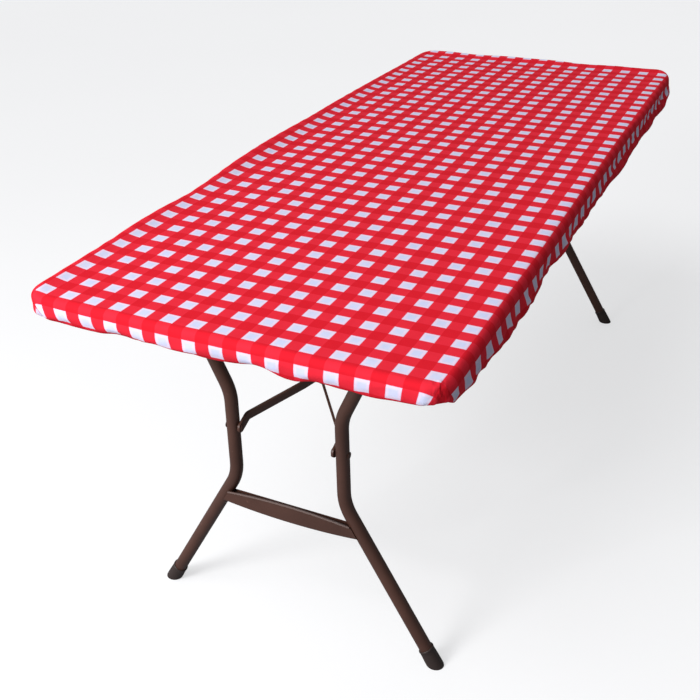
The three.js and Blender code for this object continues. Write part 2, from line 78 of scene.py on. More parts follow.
class Net:
    """A small helper for building node trees."""

    def __init__(self, name):
        self.mat = bpy.data.materials.new(name)
        self.nt, self.bsdf = nodes_of(self.mat)

    def node(self, kind, **sets):
        n = self.nt.nodes.new(kind)
        for k, v in sets.items():
            setattr(n, k, v)
        return n

    def link(self, a, b):
        self.nt.links.new(a, b)

    def math(self, op, a, b=None, c=None):
        n = self.node("ShaderNodeMath", operation=op)
        for i, v in enumerate((a, b, c)):
            if v is None:
                continue
            if isinstance(v, (int, float)):
                n.inputs[i].default_value = v
            else:
                self.link(v, n.inputs[i])
        return n.outputs[0]

    def mix(self, fac, a, b):
        n = self.node("ShaderNodeMix", data_type="RGBA")
        for s, v in ((n.inputs[0], fac), (n.inputs[6], a), (n.inputs[7], b)):
            if isinstance(v, (int, float)):
                s.default_value = v
            elif isinstance(v, tuple):
                s.default_value = (*v, 1)
            else:
                self.link(v, s)
        return n.outputs[2]

    def noise(self, vec, scale, detail=2.0, rough=0.5):
        n = self.node("ShaderNodeTexNoise")
        n.inputs["Scale"].default_value = scale
        n.inputs["Detail"].default_value = detail
        n.inputs["Roughness"].default_value = rough
        if vec is not None:
            self.link(vec, n.inputs["Vector"])
        return n

    def remap(self, v, a, b, c, d, smooth=False):
        n = self.node("ShaderNodeMapRange")
        if smooth:
            n.interpolation_type = "SMOOTHSTEP"
        self.link(v, n.inputs[0])
        for i, x in enumerate((a, b, c, d)):
            n.inputs[i + 1].default_value = x
        return n.outputs[0]

    def bump(self, height, strength, distance, under=None):
        n = self.node("ShaderNodeBump")
        n.inputs["Strength"].default_value = strength
        n.inputs["Distance"].default_value = distance
        self.link(height, n.inputs["Height"])
        if under is not None:
            self.link(under, n.inputs["Normal"])
        return n.outputs[0]

    def position(self):
        return self.node("ShaderNodeTexCoord").outputs["Object"]


def srgb(r, g, b):
    def f(c):
        c /= 255
        return c / 12.92 if c <= 0.04045 else ((c + 0.055) / 1.055) ** 2.4

    return (f(r), f(g), f(b))


def floor_material():
    n = Net("floor")
    spots = n.noise(n.position(), 0.8, 3)
    seen = n.node("ShaderNodeLightPath").outputs["Is Camera Ray"]
    pale = n.mix(spots.outputs[0], (0.40, 0.40, 0.405), (0.43, 0.43, 0.435))
    n.link(n.mix(seen, (0.28, 0.28, 0.29), pale), n.bsdf.inputs["Base Color"])
    # a little glow keeps the sweep pale under the table
    n.bsdf.inputs["Emission Color"].default_value = (0.97, 0.975, 0.985, 1)
    n.link(n.math("MULTIPLY", seen, 0.62), n.bsdf.inputs["Emission Strength"])
    n.bsdf.inputs["Roughness"].default_value = 0.9
    n.bsdf.inputs["Specular IOR Level"].default_value = 0.1
    return n.mat


floor_mesh = bpy.data.meshes.new("floor")
floor_mesh.from_pydata([(-25, -25, 0), (25, -25, 0), (25, 25, 0), (-25, 25, 0)], [], [(0, 1, 2, 3)])
floor_mesh.materials.append(floor_material())
floor = put(bpy.data.objects.new("floor", floor_mesh))

world = bpy.data.worlds.new("studio")
scene.world = world
world.use_nodes = True
wt = world.node_tree
sky = wt.nodes["Background"]
sky.inputs[0].default_value = (0.97, 0.98, 1.0, 1)
# brighter towards the window side, dimmer behind the long near side
way = wt.nodes.new("ShaderNodeTexCoord")
split = wt.nodes.new("ShaderNodeSeparateXYZ")
ramp = wt.nodes.new("ShaderNodeMapRange")
wt.links.new(way.outputs["Generated"], split.inputs[0])
wt.links.new(split.outputs[1], ramp.inputs[0])
for i, v in enumerate((-0.8, 0.8, 0.16, 0.56)):
    ramp.inputs[i + 1].default_value = v
# what the camera sees past the floor is as pale as the floor
seen = wt.nodes.new("ShaderNodeLightPath")
either = wt.nodes.new("ShaderNodeMix")
either.inputs["B"].default_value = 0.93
wt.links.new(seen.outputs["Is Camera Ray"], either.inputs["Factor"])
wt.links.new(ramp.outputs[0], either.inputs["A"])
wt.links.new(either.outputs["Result"], sky.inputs[1])


def shine(name, kind, at, aim, energy, **sets):
    d = bpy.data.lights.new(name, kind)
    d.energy = energy
    for k, v in sets.items():
        setattr(d, k, v)
    o = put(bpy.data.objects.new(name, d))
    o.location = at
    o.rotation_euler = (Vector(at) - Vector(aim)).to_track_quat("Z", "Y").to_euler()


shine("overhead", "SUN", (-0.60, 0.42, 2.4), (0, 0, 1.4), 0.95, angle=math.radians(36))
shine("window", "AREA", (-3.0, 1.3, 1.95), (-0.35, 0, 0.68), 82, size=1.1)


# ------------------------------------------------------------------ materials
def gingham(name="gingham", shade=1.0):
    n = Net(name)
    uv = n.node("ShaderNodeUVMap", uv_map="fabric").outputs[0]
    # the print wanders a little, as cloth pulled by hand does
    w1 = n.noise(uv, 3.1, 1)
    w2 = n.noise(uv, 14.0, 1)

    def shift(noise, amount):
        v = n.node("ShaderNodeVectorMath", operation="SUBTRACT")
        n.link(noise.outputs["Color"], v.inputs[0])
        v.inputs[1].default_value = (0.5, 0.5, 0.5)
        s = n.node("ShaderNodeVectorMath", operation="SCALE")
        n.link(v.outputs[0], s.inputs[0])
        s.inputs["Scale"].default_value = amount
        return s.outputs[0]

    def plus(a, b):
        v = n.node("ShaderNodeVectorMath", operation="ADD")
        n.link(a, v.inputs[0])
        n.link(b, v.inputs[1])
        return v.outputs[0]

    warped = plus(plus(uv, shift(w1, 0.0022)), shift(w2, 0.0014))
    sep = n.node("ShaderNodeSeparateXYZ")
    n.link(warped, sep.inputs[0])

    def stripe(v, add):
        f = n.math("FRACT", n.math("ADD", n.math("MULTIPLY", v, 1 / 0.0508), add + 50))
        return n.math("ABSOLUTE", n.math("SUBTRACT", f, 0.5))

    ax, ay = stripe(sep.outputs[0], 0.0), stripe(sep.outputs[1], 0.5)
    red_x = n.remap(ax, 0.2475, 0.2525, 0, 1)
    red_y = n.remap(ay, 0.2475, 0.2525, 0, 1)
    any_red = n.math("MAXIMUM", red_x, red_y)
    both = n.math("MINIMUM", red_x, red_y)
    # dye creeps a millimetre into the white
    near = n.math("MAXIMUM", ax, ay)
    bleed = n.math("MULTIPLY", n.remap(near, 0.222, 0.2485, 0, 1, True), n.math("SUBTRACT", 1.0, any_red))
    cloud = n.noise(uv, 22.0, 4, 0.6)
    fine = n.noise(uv, 900.0, 2)
    middle = n.remap(near, 0.10, 0.20, 0, 1, True)
    white = n.mix(middle, srgb(211, 217, 249), srgb(238, 219, 244))
    white = n.mix(n.remap(cloud.outputs[0], 0.35, 0.65, 0, 0.35), white, srgb(236, 232, 250))
    white = n.mix(n.math("MULTIPLY", bleed, 0.42), white, srgb(176, 96, 150))
    light = n.mix(cloud.outputs[0], (0.80, 0.017, 0.036), (0.90, 0.030, 0.056))
    dark = n.mix(cloud.outputs[0], (0.72, 0.008, 0.021), (0.80, 0.014, 0.030))
    red = n.mix(both, light, dark)
    colour = n.mix(any_red, white, red)
    # plain weave, 0.55 mm from thread to thread
    sp = n.node("ShaderNodeSeparateXYZ")
    n.link(uv, sp.inputs[0])
    k = math.pi / 0.00055
    wx = n.math("SINE", n.math("MULTIPLY", sp.outputs[0], k))
    wy = n.math("SINE", n.math("MULTIPLY", sp.outputs[1], k))
    weave = n.math("MULTIPLY", wx, wy)
    threads = n.math("ADD", n.math("MULTIPLY", weave, 0.5), n.math("MULTIPLY", fine.outputs[0], 0.8))
    tint = n.remap(threads, -0.4, 1.2, 0.93, 1.05)
    hsv = n.node("ShaderNodeHueSaturation")
    n.link(tint, hsv.inputs["Value"])
    n.link(colour, hsv.inputs["Color"])
    n.link(hsv.outputs[0], n.bsdf.inputs["Base Color"])
    rough = n.remap(cloud.outputs[0], 0.3, 0.7, 0.78, 0.9)
    n.link(rough, n.bsdf.inputs["Roughness"])
    n.bsdf.inputs["Specular IOR Level"].default_value = 0.09
    # soft handling creases, then threads
    crease = n.noise(uv, 16.0, 5, 0.55)
    b1 = n.bump(crease.outputs[0], 0.35, 0.004)
    n.link(n.bump(threads, 0.35, 0.00018, b1), n.bsdf.inputs["Normal"])
    return n.mat


def painted(name, base, rough=0.42, wear=True):
    n = Net(name)
    p = n.position()
    peel = n.noise(p, 420.0, 3)
    broad = n.noise(p, 9.0, 4, 0.6)
    a = tuple(c * 0.85 for c in base)
    b = tuple(c * 1.18 for c in base)
    colour = n.mix(n.remap(broad.outputs[0], 0.3, 0.7, 0, 1), a, b)
    if wear:
        scuff = n.noise(p, 65.0, 6, 0.7)
        mask = n.remap(scuff.outputs[0], 0.665, 0.70, 0, 0.55)
        colour = n.mix(mask, colour, tuple(min(1, c * 2.6 + 0.02) for c in base))
    n.link(colour, n.bsdf.inputs["Base Color"])
    n.link(n.remap(broad.outputs[0], 0.25, 0.75, rough - 0.08, rough + 0.1), n.bsdf.inputs["Roughness"])
    n.bsdf.inputs["Metallic"].default_value = 0.0
    n.bsdf.inputs["Specular IOR Level"].default_value = 0.45
    n.link(n.bump(peel.outputs[0], 0.25, 0.0004), n.bsdf.inputs["Normal"])
    return n.mat


def zinc_plate():
    n = Net("zinc_steel")
    p = n.position()
    spangle = n.node("ShaderNodeTexVoronoi")
    spangle.inputs["Scale"].default_value = 260
    n.link(p, spangle.inputs["Vector"])
    grime = n.noise(p, 80, 4)
    colour = n.mix(spangle.outputs["Distance"], (0.52, 0.52, 0.50), (0.68, 0.68, 0.67))
    colour = n.mix(n.remap(grime.outputs[0], 0.5, 0.75, 0, 0.6), colour, (0.33, 0.31, 0.28))
    n.link(colour, n.bsdf.inputs["Base Color"])
    n.bsdf.inputs["Metallic"].default_value = 1.0
    n.link(n.remap(grime.outputs[0], 0.3, 0.7, 0.28, 0.5), n.bsdf.inputs["Roughness"])
    n.link(n.bump(grime.outputs[0], 0.15, 0.0003), n.bsdf.inputs["Normal"])
    return n.mat


def plastic(name, base, scale, rough, depth):
    n = Net(name)
    p = n.position()
    pebble = n.node("ShaderNodeTexVoronoi")
    pebble.inputs["Scale"].default_value = scale
    n.link(p, pebble.inputs["Vector"])
    speck = n.noise(p, 700, 2)
    broad = n.noise(p, 6, 3)
    colour = n.mix(broad.outputs[0], tuple(c * 0.93 for c in base), tuple(min(1, c * 1.05) for c in base))
    colour = n.mix(n.remap(speck.outputs[0], 0.62, 0.68, 0, 0.35), colour, tuple(c * 0.45 for c in base))
    n.link(colour, n.bsdf.inputs["Base Color"])
    n.link(n.remap(broad.outputs[0], 0.3, 0.7, rough - 0.06, rough + 0.08), n.bsdf.inputs["Roughness"])
    n.link(n.bump(pebble.outputs["Distance"], 0.5, depth), n.bsdf.inputs["Normal"])
    return n.mat


def plain_thread(name, base, scale=1500):
    n = Net(name)
    t = n.noise(n.position(), scale, 2)
    n.link(n.mix(t.outputs[0], tuple(c * 0.75 for c in base), tuple(min(1, c * 1.15) for c in base)), n.bsdf.inputs["Base Color"])
    n.bsdf.inputs["Roughness"].default_value = 0.8
    n.link(n.bump(t.outputs[0], 0.5, 0.0002), n.bsdf.inputs["Normal"])
    return n.mat


CLOTH = gingham()
PAINT = painted("bronze_paint", srgb(78, 50, 41))
ZINC = zinc_plate()
NYLON = plastic("dark_plastic", srgb(52, 40, 37), 380, 0.55, 0.0004)
BOARD = plastic("moulded_top", srgb(214, 211, 202), 300, 0.5, 0.0006)
THREAD = plain_thread("stitch_thread", srgb(176, 22, 36))
ELASTIC = plain_thread("elastic_braid", srgb(232, 228, 220), 900)


# ------------------------------------------------------------------ mesh helpers
def make(name, verts, faces, mat, body, replaces=(), uv=None, smooth=True, flip=False):
    me = bpy.data.meshes.new(name)
    verts = np.asarray(verts, float).reshape(-1, 3)
    me.from_pydata(verts.tolist(), [], [tuple(int(i) for i in f) for f in faces])
    if flip:
        me.flip_normals()
    if uv is not None:
        layer = me.uv_layers.new(name="fabric")
        li = np.empty(len(me.loops), np.int32)
        me.loops.foreach_get("vertex_index", li)
        layer.data.foreach_set("uv", np.asarray(uv, np.float32)[li].ravel())
    me.polygons.foreach_set("use_smooth", [smooth] * len(me.polygons))
    me.materials.append(mat)
    me.update()
    ob = put(bpy.data.objects.new(name, me))
    if replaces:
        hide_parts(*replaces)
    if body:
        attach(ob, body)
    return ob


def ring_faces(rows, n, closed=False, wrap=True):
    r = rows if closed else rows - 1
    k, j = np.meshgrid(np.arange(r), np.arange(n if wrap else n - 1), indexing="ij")
    k2, j2 = (k + 1) % rows, (j + 1) % n
    return np.stack([k * n + j, k2 * n + j, k2 * n + j2, k * n + j2], -1).reshape(-1, 4)


def frames_along(pts, closed=False):
    """Tangent, side and up at each point, turning as little as possible."""
    p = np.asarray(pts, float)
    if closed:
        t = np.roll(p, -1, 0) - np.roll(p, 1, 0)
    else:
        t = np.gradient(p, axis=0)
    t /= np.linalg.norm(t, axis=1)[:, None]
    side = np.empty_like(p)
    ref = np.array([0, 0, 1.0]) if abs(t[0][2]) < 0.9 else np.array([1.0, 0, 0])
    s = np.cross(t[0], ref)
    s /= np.linalg.norm(s)
    for i in range(len(p)):
        s = s - t[i] * (s @ t[i])
        s /= np.linalg.norm(s)
        side[i] = s
    return t, side, np.cross(side, t)


def tube(pts, radius, sides=32, caps=True):
    """Verts and faces of a round tube; radius may be one number or one per point."""
    p = np.asarray(pts, float)
    t, a, b = frames_along(p)
    r = np.broadcast_to(np.asarray(radius, float), (len(p),))
    w = np.linspace(0, 2 * math.pi, sides, endpoint=False)
    rings = p[:, None] + r[:, None, None] * (np.cos(w)[None, :, None] * a[:, None] + np.sin(w)[None, :, None] * b[:, None])
    v = rings.reshape(-1, 3)
    f = ring_faces(len(p), sides).tolist()
    if caps:
        f.append(list(range(sides)))
        f.append([(len(p) - 1) * sides + i for i in range(sides)][::-1])
    return v, f


def lathe(profile, axis_point, axis, sides=32):
    """profile: (radius, along) pairs from axis to axis."""
    ax = Vector(axis).normalized()
    ref = Vector((0, 0, 1)) if abs(ax.z) < 0.9 else Vector((1, 0, 0))
    a = np.array(ax.cross(ref).normalized())
    axn = np.array(ax)
    b = np.cross(axn, a)
    o = np.array(axis_point, float)
    w = np.linspace(0, 2 * math.pi, sides, endpoint=False)
    v, f = [], []
    rows = []
    for r, h in profile:
        if r < 1e-9:
            rows.append([len(v)])
            v.append(o + axn * h)
        else:
            rows.append(list(range(len(v), len(v) + sides)))
            for x in w:
                v.append(o + axn * h + r * (math.cos(x) * a + math.sin(x) * b))
    for p, q in zip(rows, rows[1:]):
        for i in range(sides):
            j = (i + 1) % sides
            if len(p) == 1 and len(q) == 1:
                continue
            if len(p) == 1:
                f.append((p[0], q[j], q[i]))
            elif len(q) == 1:
                f.append((p[i], p[j], q[0]))
            else:
                f.append((p[i], p[j], q[j], q[i]))
    return np.array(v), f


def outward(ob):
    """Makes a closed mesh's faces point out."""
    import bmesh
    bm = bmesh.new()
    bm.from_mesh(ob.data)
    bmesh.ops.recalc_face_normals(bm, faces=bm.faces)
    bm.to_mesh(ob.data)
    bm.free()
    return ob


def creased(ob, angle=35):
    """Smooth faces, with edges sharper than the angle kept crisp."""
    import bmesh
    bm = bmesh.new()
    bm.from_mesh(ob.data)
    for e in bm.edges:
        if len(e.link_faces) == 2:
            e.smooth = e.calc_face_angle(0) < math.radians(angle)
    bm.to_mesh(ob.data)
    bm.free()
    return ob


def turned_half(v, end):
    """The right end is the left end turned half round the upright axis."""
    v = np.array(v, float).reshape(-1, 3)
    if end == "right":
        v[:, 0] *= -1
        v[:, 1] *= -1
    return v


# ------------------------------------------------------------------ the cloth
A, B, RC = 0.9144, 0.381, 0.040  # half length, half width and corner radius of the covered top
TOP = 0.738
W_END, W_SIDE = 0.080, 0.094  # cloth beyond the edge, measured flat
START = -0.034
RINGS = 20
SHEET = 0.0007


def edge_r(side):
    """The rim is blunter along the long sides."""
    return 0.0088 + 0.0055 * side


def sstep(x, a, b):
    t = np.clip((x - a) / (b - a), 0, 1)
    return t * t * (3 - 2 * t)


def printed(xy):
    """Where the print lies on the pulled cloth: it drifts by up to a check at the far end."""
    x = np.clip(xy[..., 0], -0.93, 0.93)
    y = np.clip(xy[..., 1], -0.385, 0.385)
    cu = (-0.00066, -0.00308, -0.01794, -0.06176, 0.00038, 0.01375, 0.00741, 0.0136, 0.02823, 0.016)
    cv = (0.00055, 0.00787, 0.00324, -0.06286, -0.00612, 0.00167, 0.02462, 0.00306, 0.00543, 0.01422)
    powers = [(i, j) for i in range(4) for j in range(4 - i)]
    out = np.array(xy, float)
    for (i, j), u, v in zip(powers, cu, cv):
        out[..., 0] += u * x ** i * y ** j
        out[..., 1] += v * x ** i * y ** j
    return out


def wave(s, total, waves, seed):
    r = np.random.default_rng(seed)
    out, norm = np.zeros_like(s), 0
    for c, wgt in waves:
        out += wgt * np.sin(2 * math.pi * c * s / total + r.uniform(0, 2 * math.pi))
        norm += wgt ** 2
    return out / math.sqrt(norm)


def stations(step=0.0072, corner=34, hx=A - RC, hy=B - RC):
    rows = []
    corners = [(hx, hy, 0), (-hx, hy, 1), (-hx, -hy, 2), (hx, -hy, 3)]
    for cx, cy, q in corners:
        for i in range(corner + 1):
            a = (q + i / corner) * math.pi / 2
            rows.append((cx, cy, math.cos(a), math.sin(a)))
        a = (q + 1) * math.pi / 2
        nx, ny = round(math.cos(a)), round(math.sin(a))
        n = int(round(2 * (hx if ny else hy) / step))
        nxt = corners[(q + 1) % 4]
        for i in range(1, n):
            t = i / n
            rows.append((cx + (nxt[0] - cx) * t, cy + (nxt[1] - cy) * t, nx, ny))
    r = np.array(rows, float)
    return r[:, :2], r[:, 2:]


def hem_line(inset, zh, length, out, e, z0):
    """The cloth's line in (offset, height) from the edge to the hem, of that length."""
    t = np.linspace(0, 1, 48)[:, None]
    p0 = np.array([e, z0])
    p3 = np.array([-inset, zh])
    d0 = np.array([out, -1.0])
    d0 /= np.linalg.norm(d0)
    d3 = np.array([-1.0, 0.30])
    d3 /= np.linalg.norm(d3)
    lo, hi = 0.001, 0.25
    for _ in range(22):
        h = (lo + hi) / 2
        p1, p2 = p0 + d0 * h, p3 - d3 * h * 0.8
        c = (1 - t) ** 3 * p0 + 3 * (1 - t) ** 2 * t * p1 + 3 * (1 - t) * t * t * p2 + t ** 3 * p3
        if np.linalg.norm(np.diff(c, axis=0), axis=1).sum() > length:
            hi = h
        else:
            lo = h
    return c


def skirt_shape():
    c, n = stations()
    N = len(c)
    side = n[:, 1] ** 2
    edge = c + n * RC
    x = edge[:, 0]
    seg = np.linalg.norm(np.roll(edge, -1, 0) - edge, axis=1)
    s = np.concatenate([[0], np.cumsum(seg)[:-1]])
    total = seg.sum()
    corner = 1 - np.abs(n[:, 0] ** 2 - n[:, 1] ** 2)
    plus_x, minus_x = np.clip(n[:, 0], 0, 1) ** 2, np.clip(-n[:, 0], 0, 1) ** 2
    plus_y, minus_y = np.clip(n[:, 1], 0, 1) ** 2, np.clip(-n[:, 1], 0, 1) ** 2
    near_corner = minus_y * sstep(-x, 0.68, 0.86)
    n1 = wave(s, total, [(7, 1), (13, 1), (19, 0.9), (29, 0.8)], 3)
    n2 = wave(s, total, [(23, 1), (37, 1), (53, 0.9), (71, 0.7)], 5)
    n3 = wave(s, total, [(11, 1), (17, 1), (31, 0.9)], 9)
    n4 = wave(s, total, [(83, 1), (97, 1), (121, 0.8)], 14)
    n5 = wave(s, total, [(27, 1), (41, 1), (63, 1)], 21)
    # slack that stands off the rim, most along the far long side
    roll = np.interp(x, (-0.90, -0.81, -0.74, -0.67, -0.60, -0.51, -0.42, -0.33, -0.22, -0.10, 0.0, 0.15, 0.28, 0.45, 0.60, 0.75, 0.90),
                     (0.015, 0.016, 0.017, 0.018, 0.023, 0.022, 0.014, 0.019, 0.030, 0.035, 0.034, 0.028, 0.028, 0.024, 0.019, 0.013, 0.010))
    roll = smooth_closed(roll * plus_y, 6)
    e = 0.62 * roll + 0.0006 * n4 * plus_y + plus_x * (0.0105 + 0.0015 * n3) + minus_y * (0.001 + 0.0045 * sstep(x, 0.0, 0.75)) + minus_x * 0.0006
    lift = 0.25 * roll + plus_x * (0.0060 + 0.001 * n3)
    er = edge_r(side) + plus_x * 0.003
    W = W_END + (W_SIDE - W_END) * side + minus_y * 0.006 * sstep(x, 0.1, 0.8) - 0.012 * corner - 0.030 * near_corner
    inset = 0.041 + (0.026 - 0.041) * side + 0.0042 * n1 + 0.0022 * n2
    zh = 0.6985 + (0.6925 - 0.6985) * side + 0.0022 * n3 + 0.004 * corner + 0.007 * near_corner - minus_y * 0.004 * sstep(x, 0.1, 0.8)
    # on the near end the turned hem drops in one place and is drawn up tighter in others
    ey = edge[:, 1]
    lip = minus_x * np.exp(-(((ey + 0.130) / 0.032) ** 2))
    tuck = 0.006 * np.exp(-(((ey - 0.075) / 0.060) ** 2)) + 0.004 * np.exp(-(((ey + 0.062) / 0.030) ** 2))
    W = W - minus_x * (tuck + 0.007 * sstep(-ey, 0.20, 0.34)) + minus_y * 0.007 * np.exp(-(((x - 0.34) / 0.26) ** 2))
    # the far half of the near long side hangs further out and smoother
    loose_side = minus_y * sstep(x, -0.15, 0.20) * (1 - sstep(x, 0.74, 0.90))
    inset = inset - 0.0055 * lip - 0.013 * loose_side
    zh = zh - 0.0018 * lip - 0.003 * loose_side
    out = 0.04 + 0.36 * side + 0.18 * n2 * (1 - 0.6 * loose_side) - 0.40 * near_corner - 0.10 * corner + 0.50 * loose_side
    qs = np.linspace(0, 1, RINGS)
    P = np.zeros((RINGS, N, 3))
    F = np.zeros((RINGS, N, 2))
    for j in range(N):
        r = er[j]
        arc = r * math.pi / 2
        z0 = TOP + lift[j] - r
        L = W[j] - (arc - r)
        curve = hem_line(inset[j], zh[j], L, out[j], e[j], z0)
        cs = np.concatenate([[0], np.cumsum(np.linalg.norm(np.diff(curve, axis=0), axis=1))])
        w = START + (W[j] - START) * qs
        t = (w - (arc - r)) / L * cs[-1]
        a = np.clip((w + r) / r, 0, math.pi / 2)
        g = sstep(w, START, -r)
        off = np.where(w <= -r, w + e[j] * g, np.where(t <= 0, -r + r * np.sin(a) + e[j], np.interp(t, cs, curve[:, 0])))
        z = np.where(w <= -r, TOP + lift[j] * g, np.where(t <= 0, z0 + r * np.cos(a), np.interp(t, cs, curve[:, 1])))
        F[:, j] = c[j] + n[j] * (RC + (w + e[j] * g)[:, None])
        P[:, j, :2] = c[j] + n[j] * (RC + off[:, None])
        P[:, j, 2] = z
    along = np.stack([-n[:, 1], n[:, 0]], 1)
    for k, q in enumerate(qs):
        w = START + (W - START) * q
        ramp = np.clip((w - 0.004) / (W - 0.004), 0, 1) ** 1.3
        # the elastic draws the hem towards the middle of each side, out of the corners
        P[k, :, 0] -= P[k, :, 0] * 0.020 * ramp * side
        P[k, :, 1] -= P[k, :, 1] * 0.045 * ramp * (1 - side)
        fold = np.sin(2 * math.pi * s / total * 230 + 1.3) * corner
        push = 0.0035 * (n2 * (1 - corner) + (1.5 - 1.0 * near_corner) * fold) + 0.0021 * n4 * side * (1 - corner) * (1 - 0.6 * loose_side)
        P[k, :, :2] += n * (ramp * push)[:, None]
        # uneven gathering slides the cloth along the hem
        P[k, :, :2] += along * (ramp * (1 - corner) * (0.0022 + 0.0032 * side) * n5)[:, None]
    # on the drop the print leans and pinches with the gathers
    drop = np.stack([sstep(START + (W - START) * q, 0.004, 0.045) for q in qs])
    lean = drop * (1 - corner) * (0.0022 + 0.0048 * side) * n5 - 0.009 * drop * loose_side
    pinch = drop * (0.0008 + 0.0022 * side) * n4
    U = F + along * lean[..., None] + n * pinch[..., None]
    loose = e > 0.004
    return P, F, U, loose, n, W


def board_rings(low_r=0.0085, hx=0.9131, hy=0.3797, r=RC - 0.0013, step=0.02, corner=16, inner=-0.05):
    """Rows of (offset, height) over the stations round the board, and the stations."""
    top, low = 0.7367, 0.7027
    c, n = stations(step, corner, hx - r, hy - r)
    side = n[:, 1] ** 2
    top_r = edge_r(side) - 0.0013
    one = np.ones_like(side)
    rows = [(inner * one, top * one)]
    for i in range(9):
        a = i / 8 * math.pi / 2
        rows.append((-top_r + top_r * math.sin(a), top - top_r + top_r * math.cos(a)))
    for i in range(7):
        a = i / 6 * math.pi / 2
        rows.append(((-low_r + low_r * math.cos(a)) * one, (low + low_r - low_r * math.sin(a)) * one))
    return rows, c, n, r


def row_points(rows, c, n, r):
    return np.concatenate([np.concatenate([c + n * (r + o)[:, None], z[:, None]], 1) for o, z in rows])


def collider():
    prof, c, n, r = board_rings(0.009, hx=0.9119, hy=0.3785, inner=-0.038)
    prof = [(o, z - 0.0010 * (z > 0.72)) for o, z in prof]
    N = len(c)
    one = np.ones(N)
    prof += [(o * one, z * one) for o, z in ((-0.031, 0.7027), (-0.033, 0.713), (-0.037, 0.713))]
    v = row_points(prof, c, n, r).tolist()
    f = ring_faces(len(prof), N).tolist()
    f.append(list(range(N)))
    f.append([(len(prof) - 1) * N + i for i in range(N)][::-1])
    me = bpy.data.meshes.new("collider")
    me.from_pydata(v, [], f)
    return put(bpy.data.objects.new("collider", me))


def relax(P, F, W, loose, frames=22):
    """Cloth simulation of the skirt: its springs rest at the flat cut, its top ring and its hem are held."""
    R, N = P.shape[:2]
    me = bpy.data.meshes.new("skirt")
    me.from_pydata(P.reshape(-1, 3).tolist(), [], ring_faces(R, N).tolist())
    ob = put(bpy.data.objects.new("skirt", me))
    ob.shape_key_add(name="Basis")
    key = ob.shape_key_add(name="flat")
    flat = np.concatenate([F.reshape(-1, 2), np.full((R * N, 1), TOP)], 1)
    key.data.foreach_set("co", flat.astype(np.float32).ravel())
    pin = ob.vertex_groups.new(name="pin")
    held = []
    for k, q in enumerate(np.linspace(0, 1, R)):
        w = START + (W - START) * q
        hold = (w <= -0.0125) | (loose & (w <= 0.010)) | (k == R - 1)
        held += [k * N + int(j) for j in np.nonzero(hold)[0]]
    pin.add(held, 1.0, "REPLACE")
    col = collider()
    col.modifiers.new("Collision", "COLLISION")
    col.collision.thickness_outer = 0.0005
    col.collision.cloth_friction = 8
    m = ob.modifiers.new("Cloth", "CLOTH")
    st = m.settings
    st.quality = 5
    st.mass = 0.15
    st.air_damping = 1
    st.tension_stiffness = 30
    st.compression_stiffness = 30
    st.shear_stiffness = 8
    st.bending_stiffness = 0.3
    st.tension_damping = 8
    st.compression_damping = 8
    st.shear_damping = 5
    st.bending_damping = 0.5
    st.vertex_group_mass = "pin"
    st.rest_shape_key = key
    m.collision_settings.use_collision = True
    m.collision_settings.collision_quality = 2
    m.collision_settings.distance_min = 0.0010
    m.collision_settings.use_self_collision = False
    m.point_cache.frame_start = 1
    m.point_cache.frame_end = frames
    scene.frame_start, scene.frame_end = 1, frames
    for f in range(1, frames + 1):
        scene.frame_set(f)
    e = ob.evaluated_get(bpy.context.evaluated_depsgraph_get())
    out = np.empty(R * N * 3, np.float32)
    e.data.vertices.foreach_get("co", out)
    bpy.data.objects.remove(ob)
    bpy.data.objects.remove(col)
    scene.frame_set(1)
    return out.reshape(R, N, 3).astype(float)


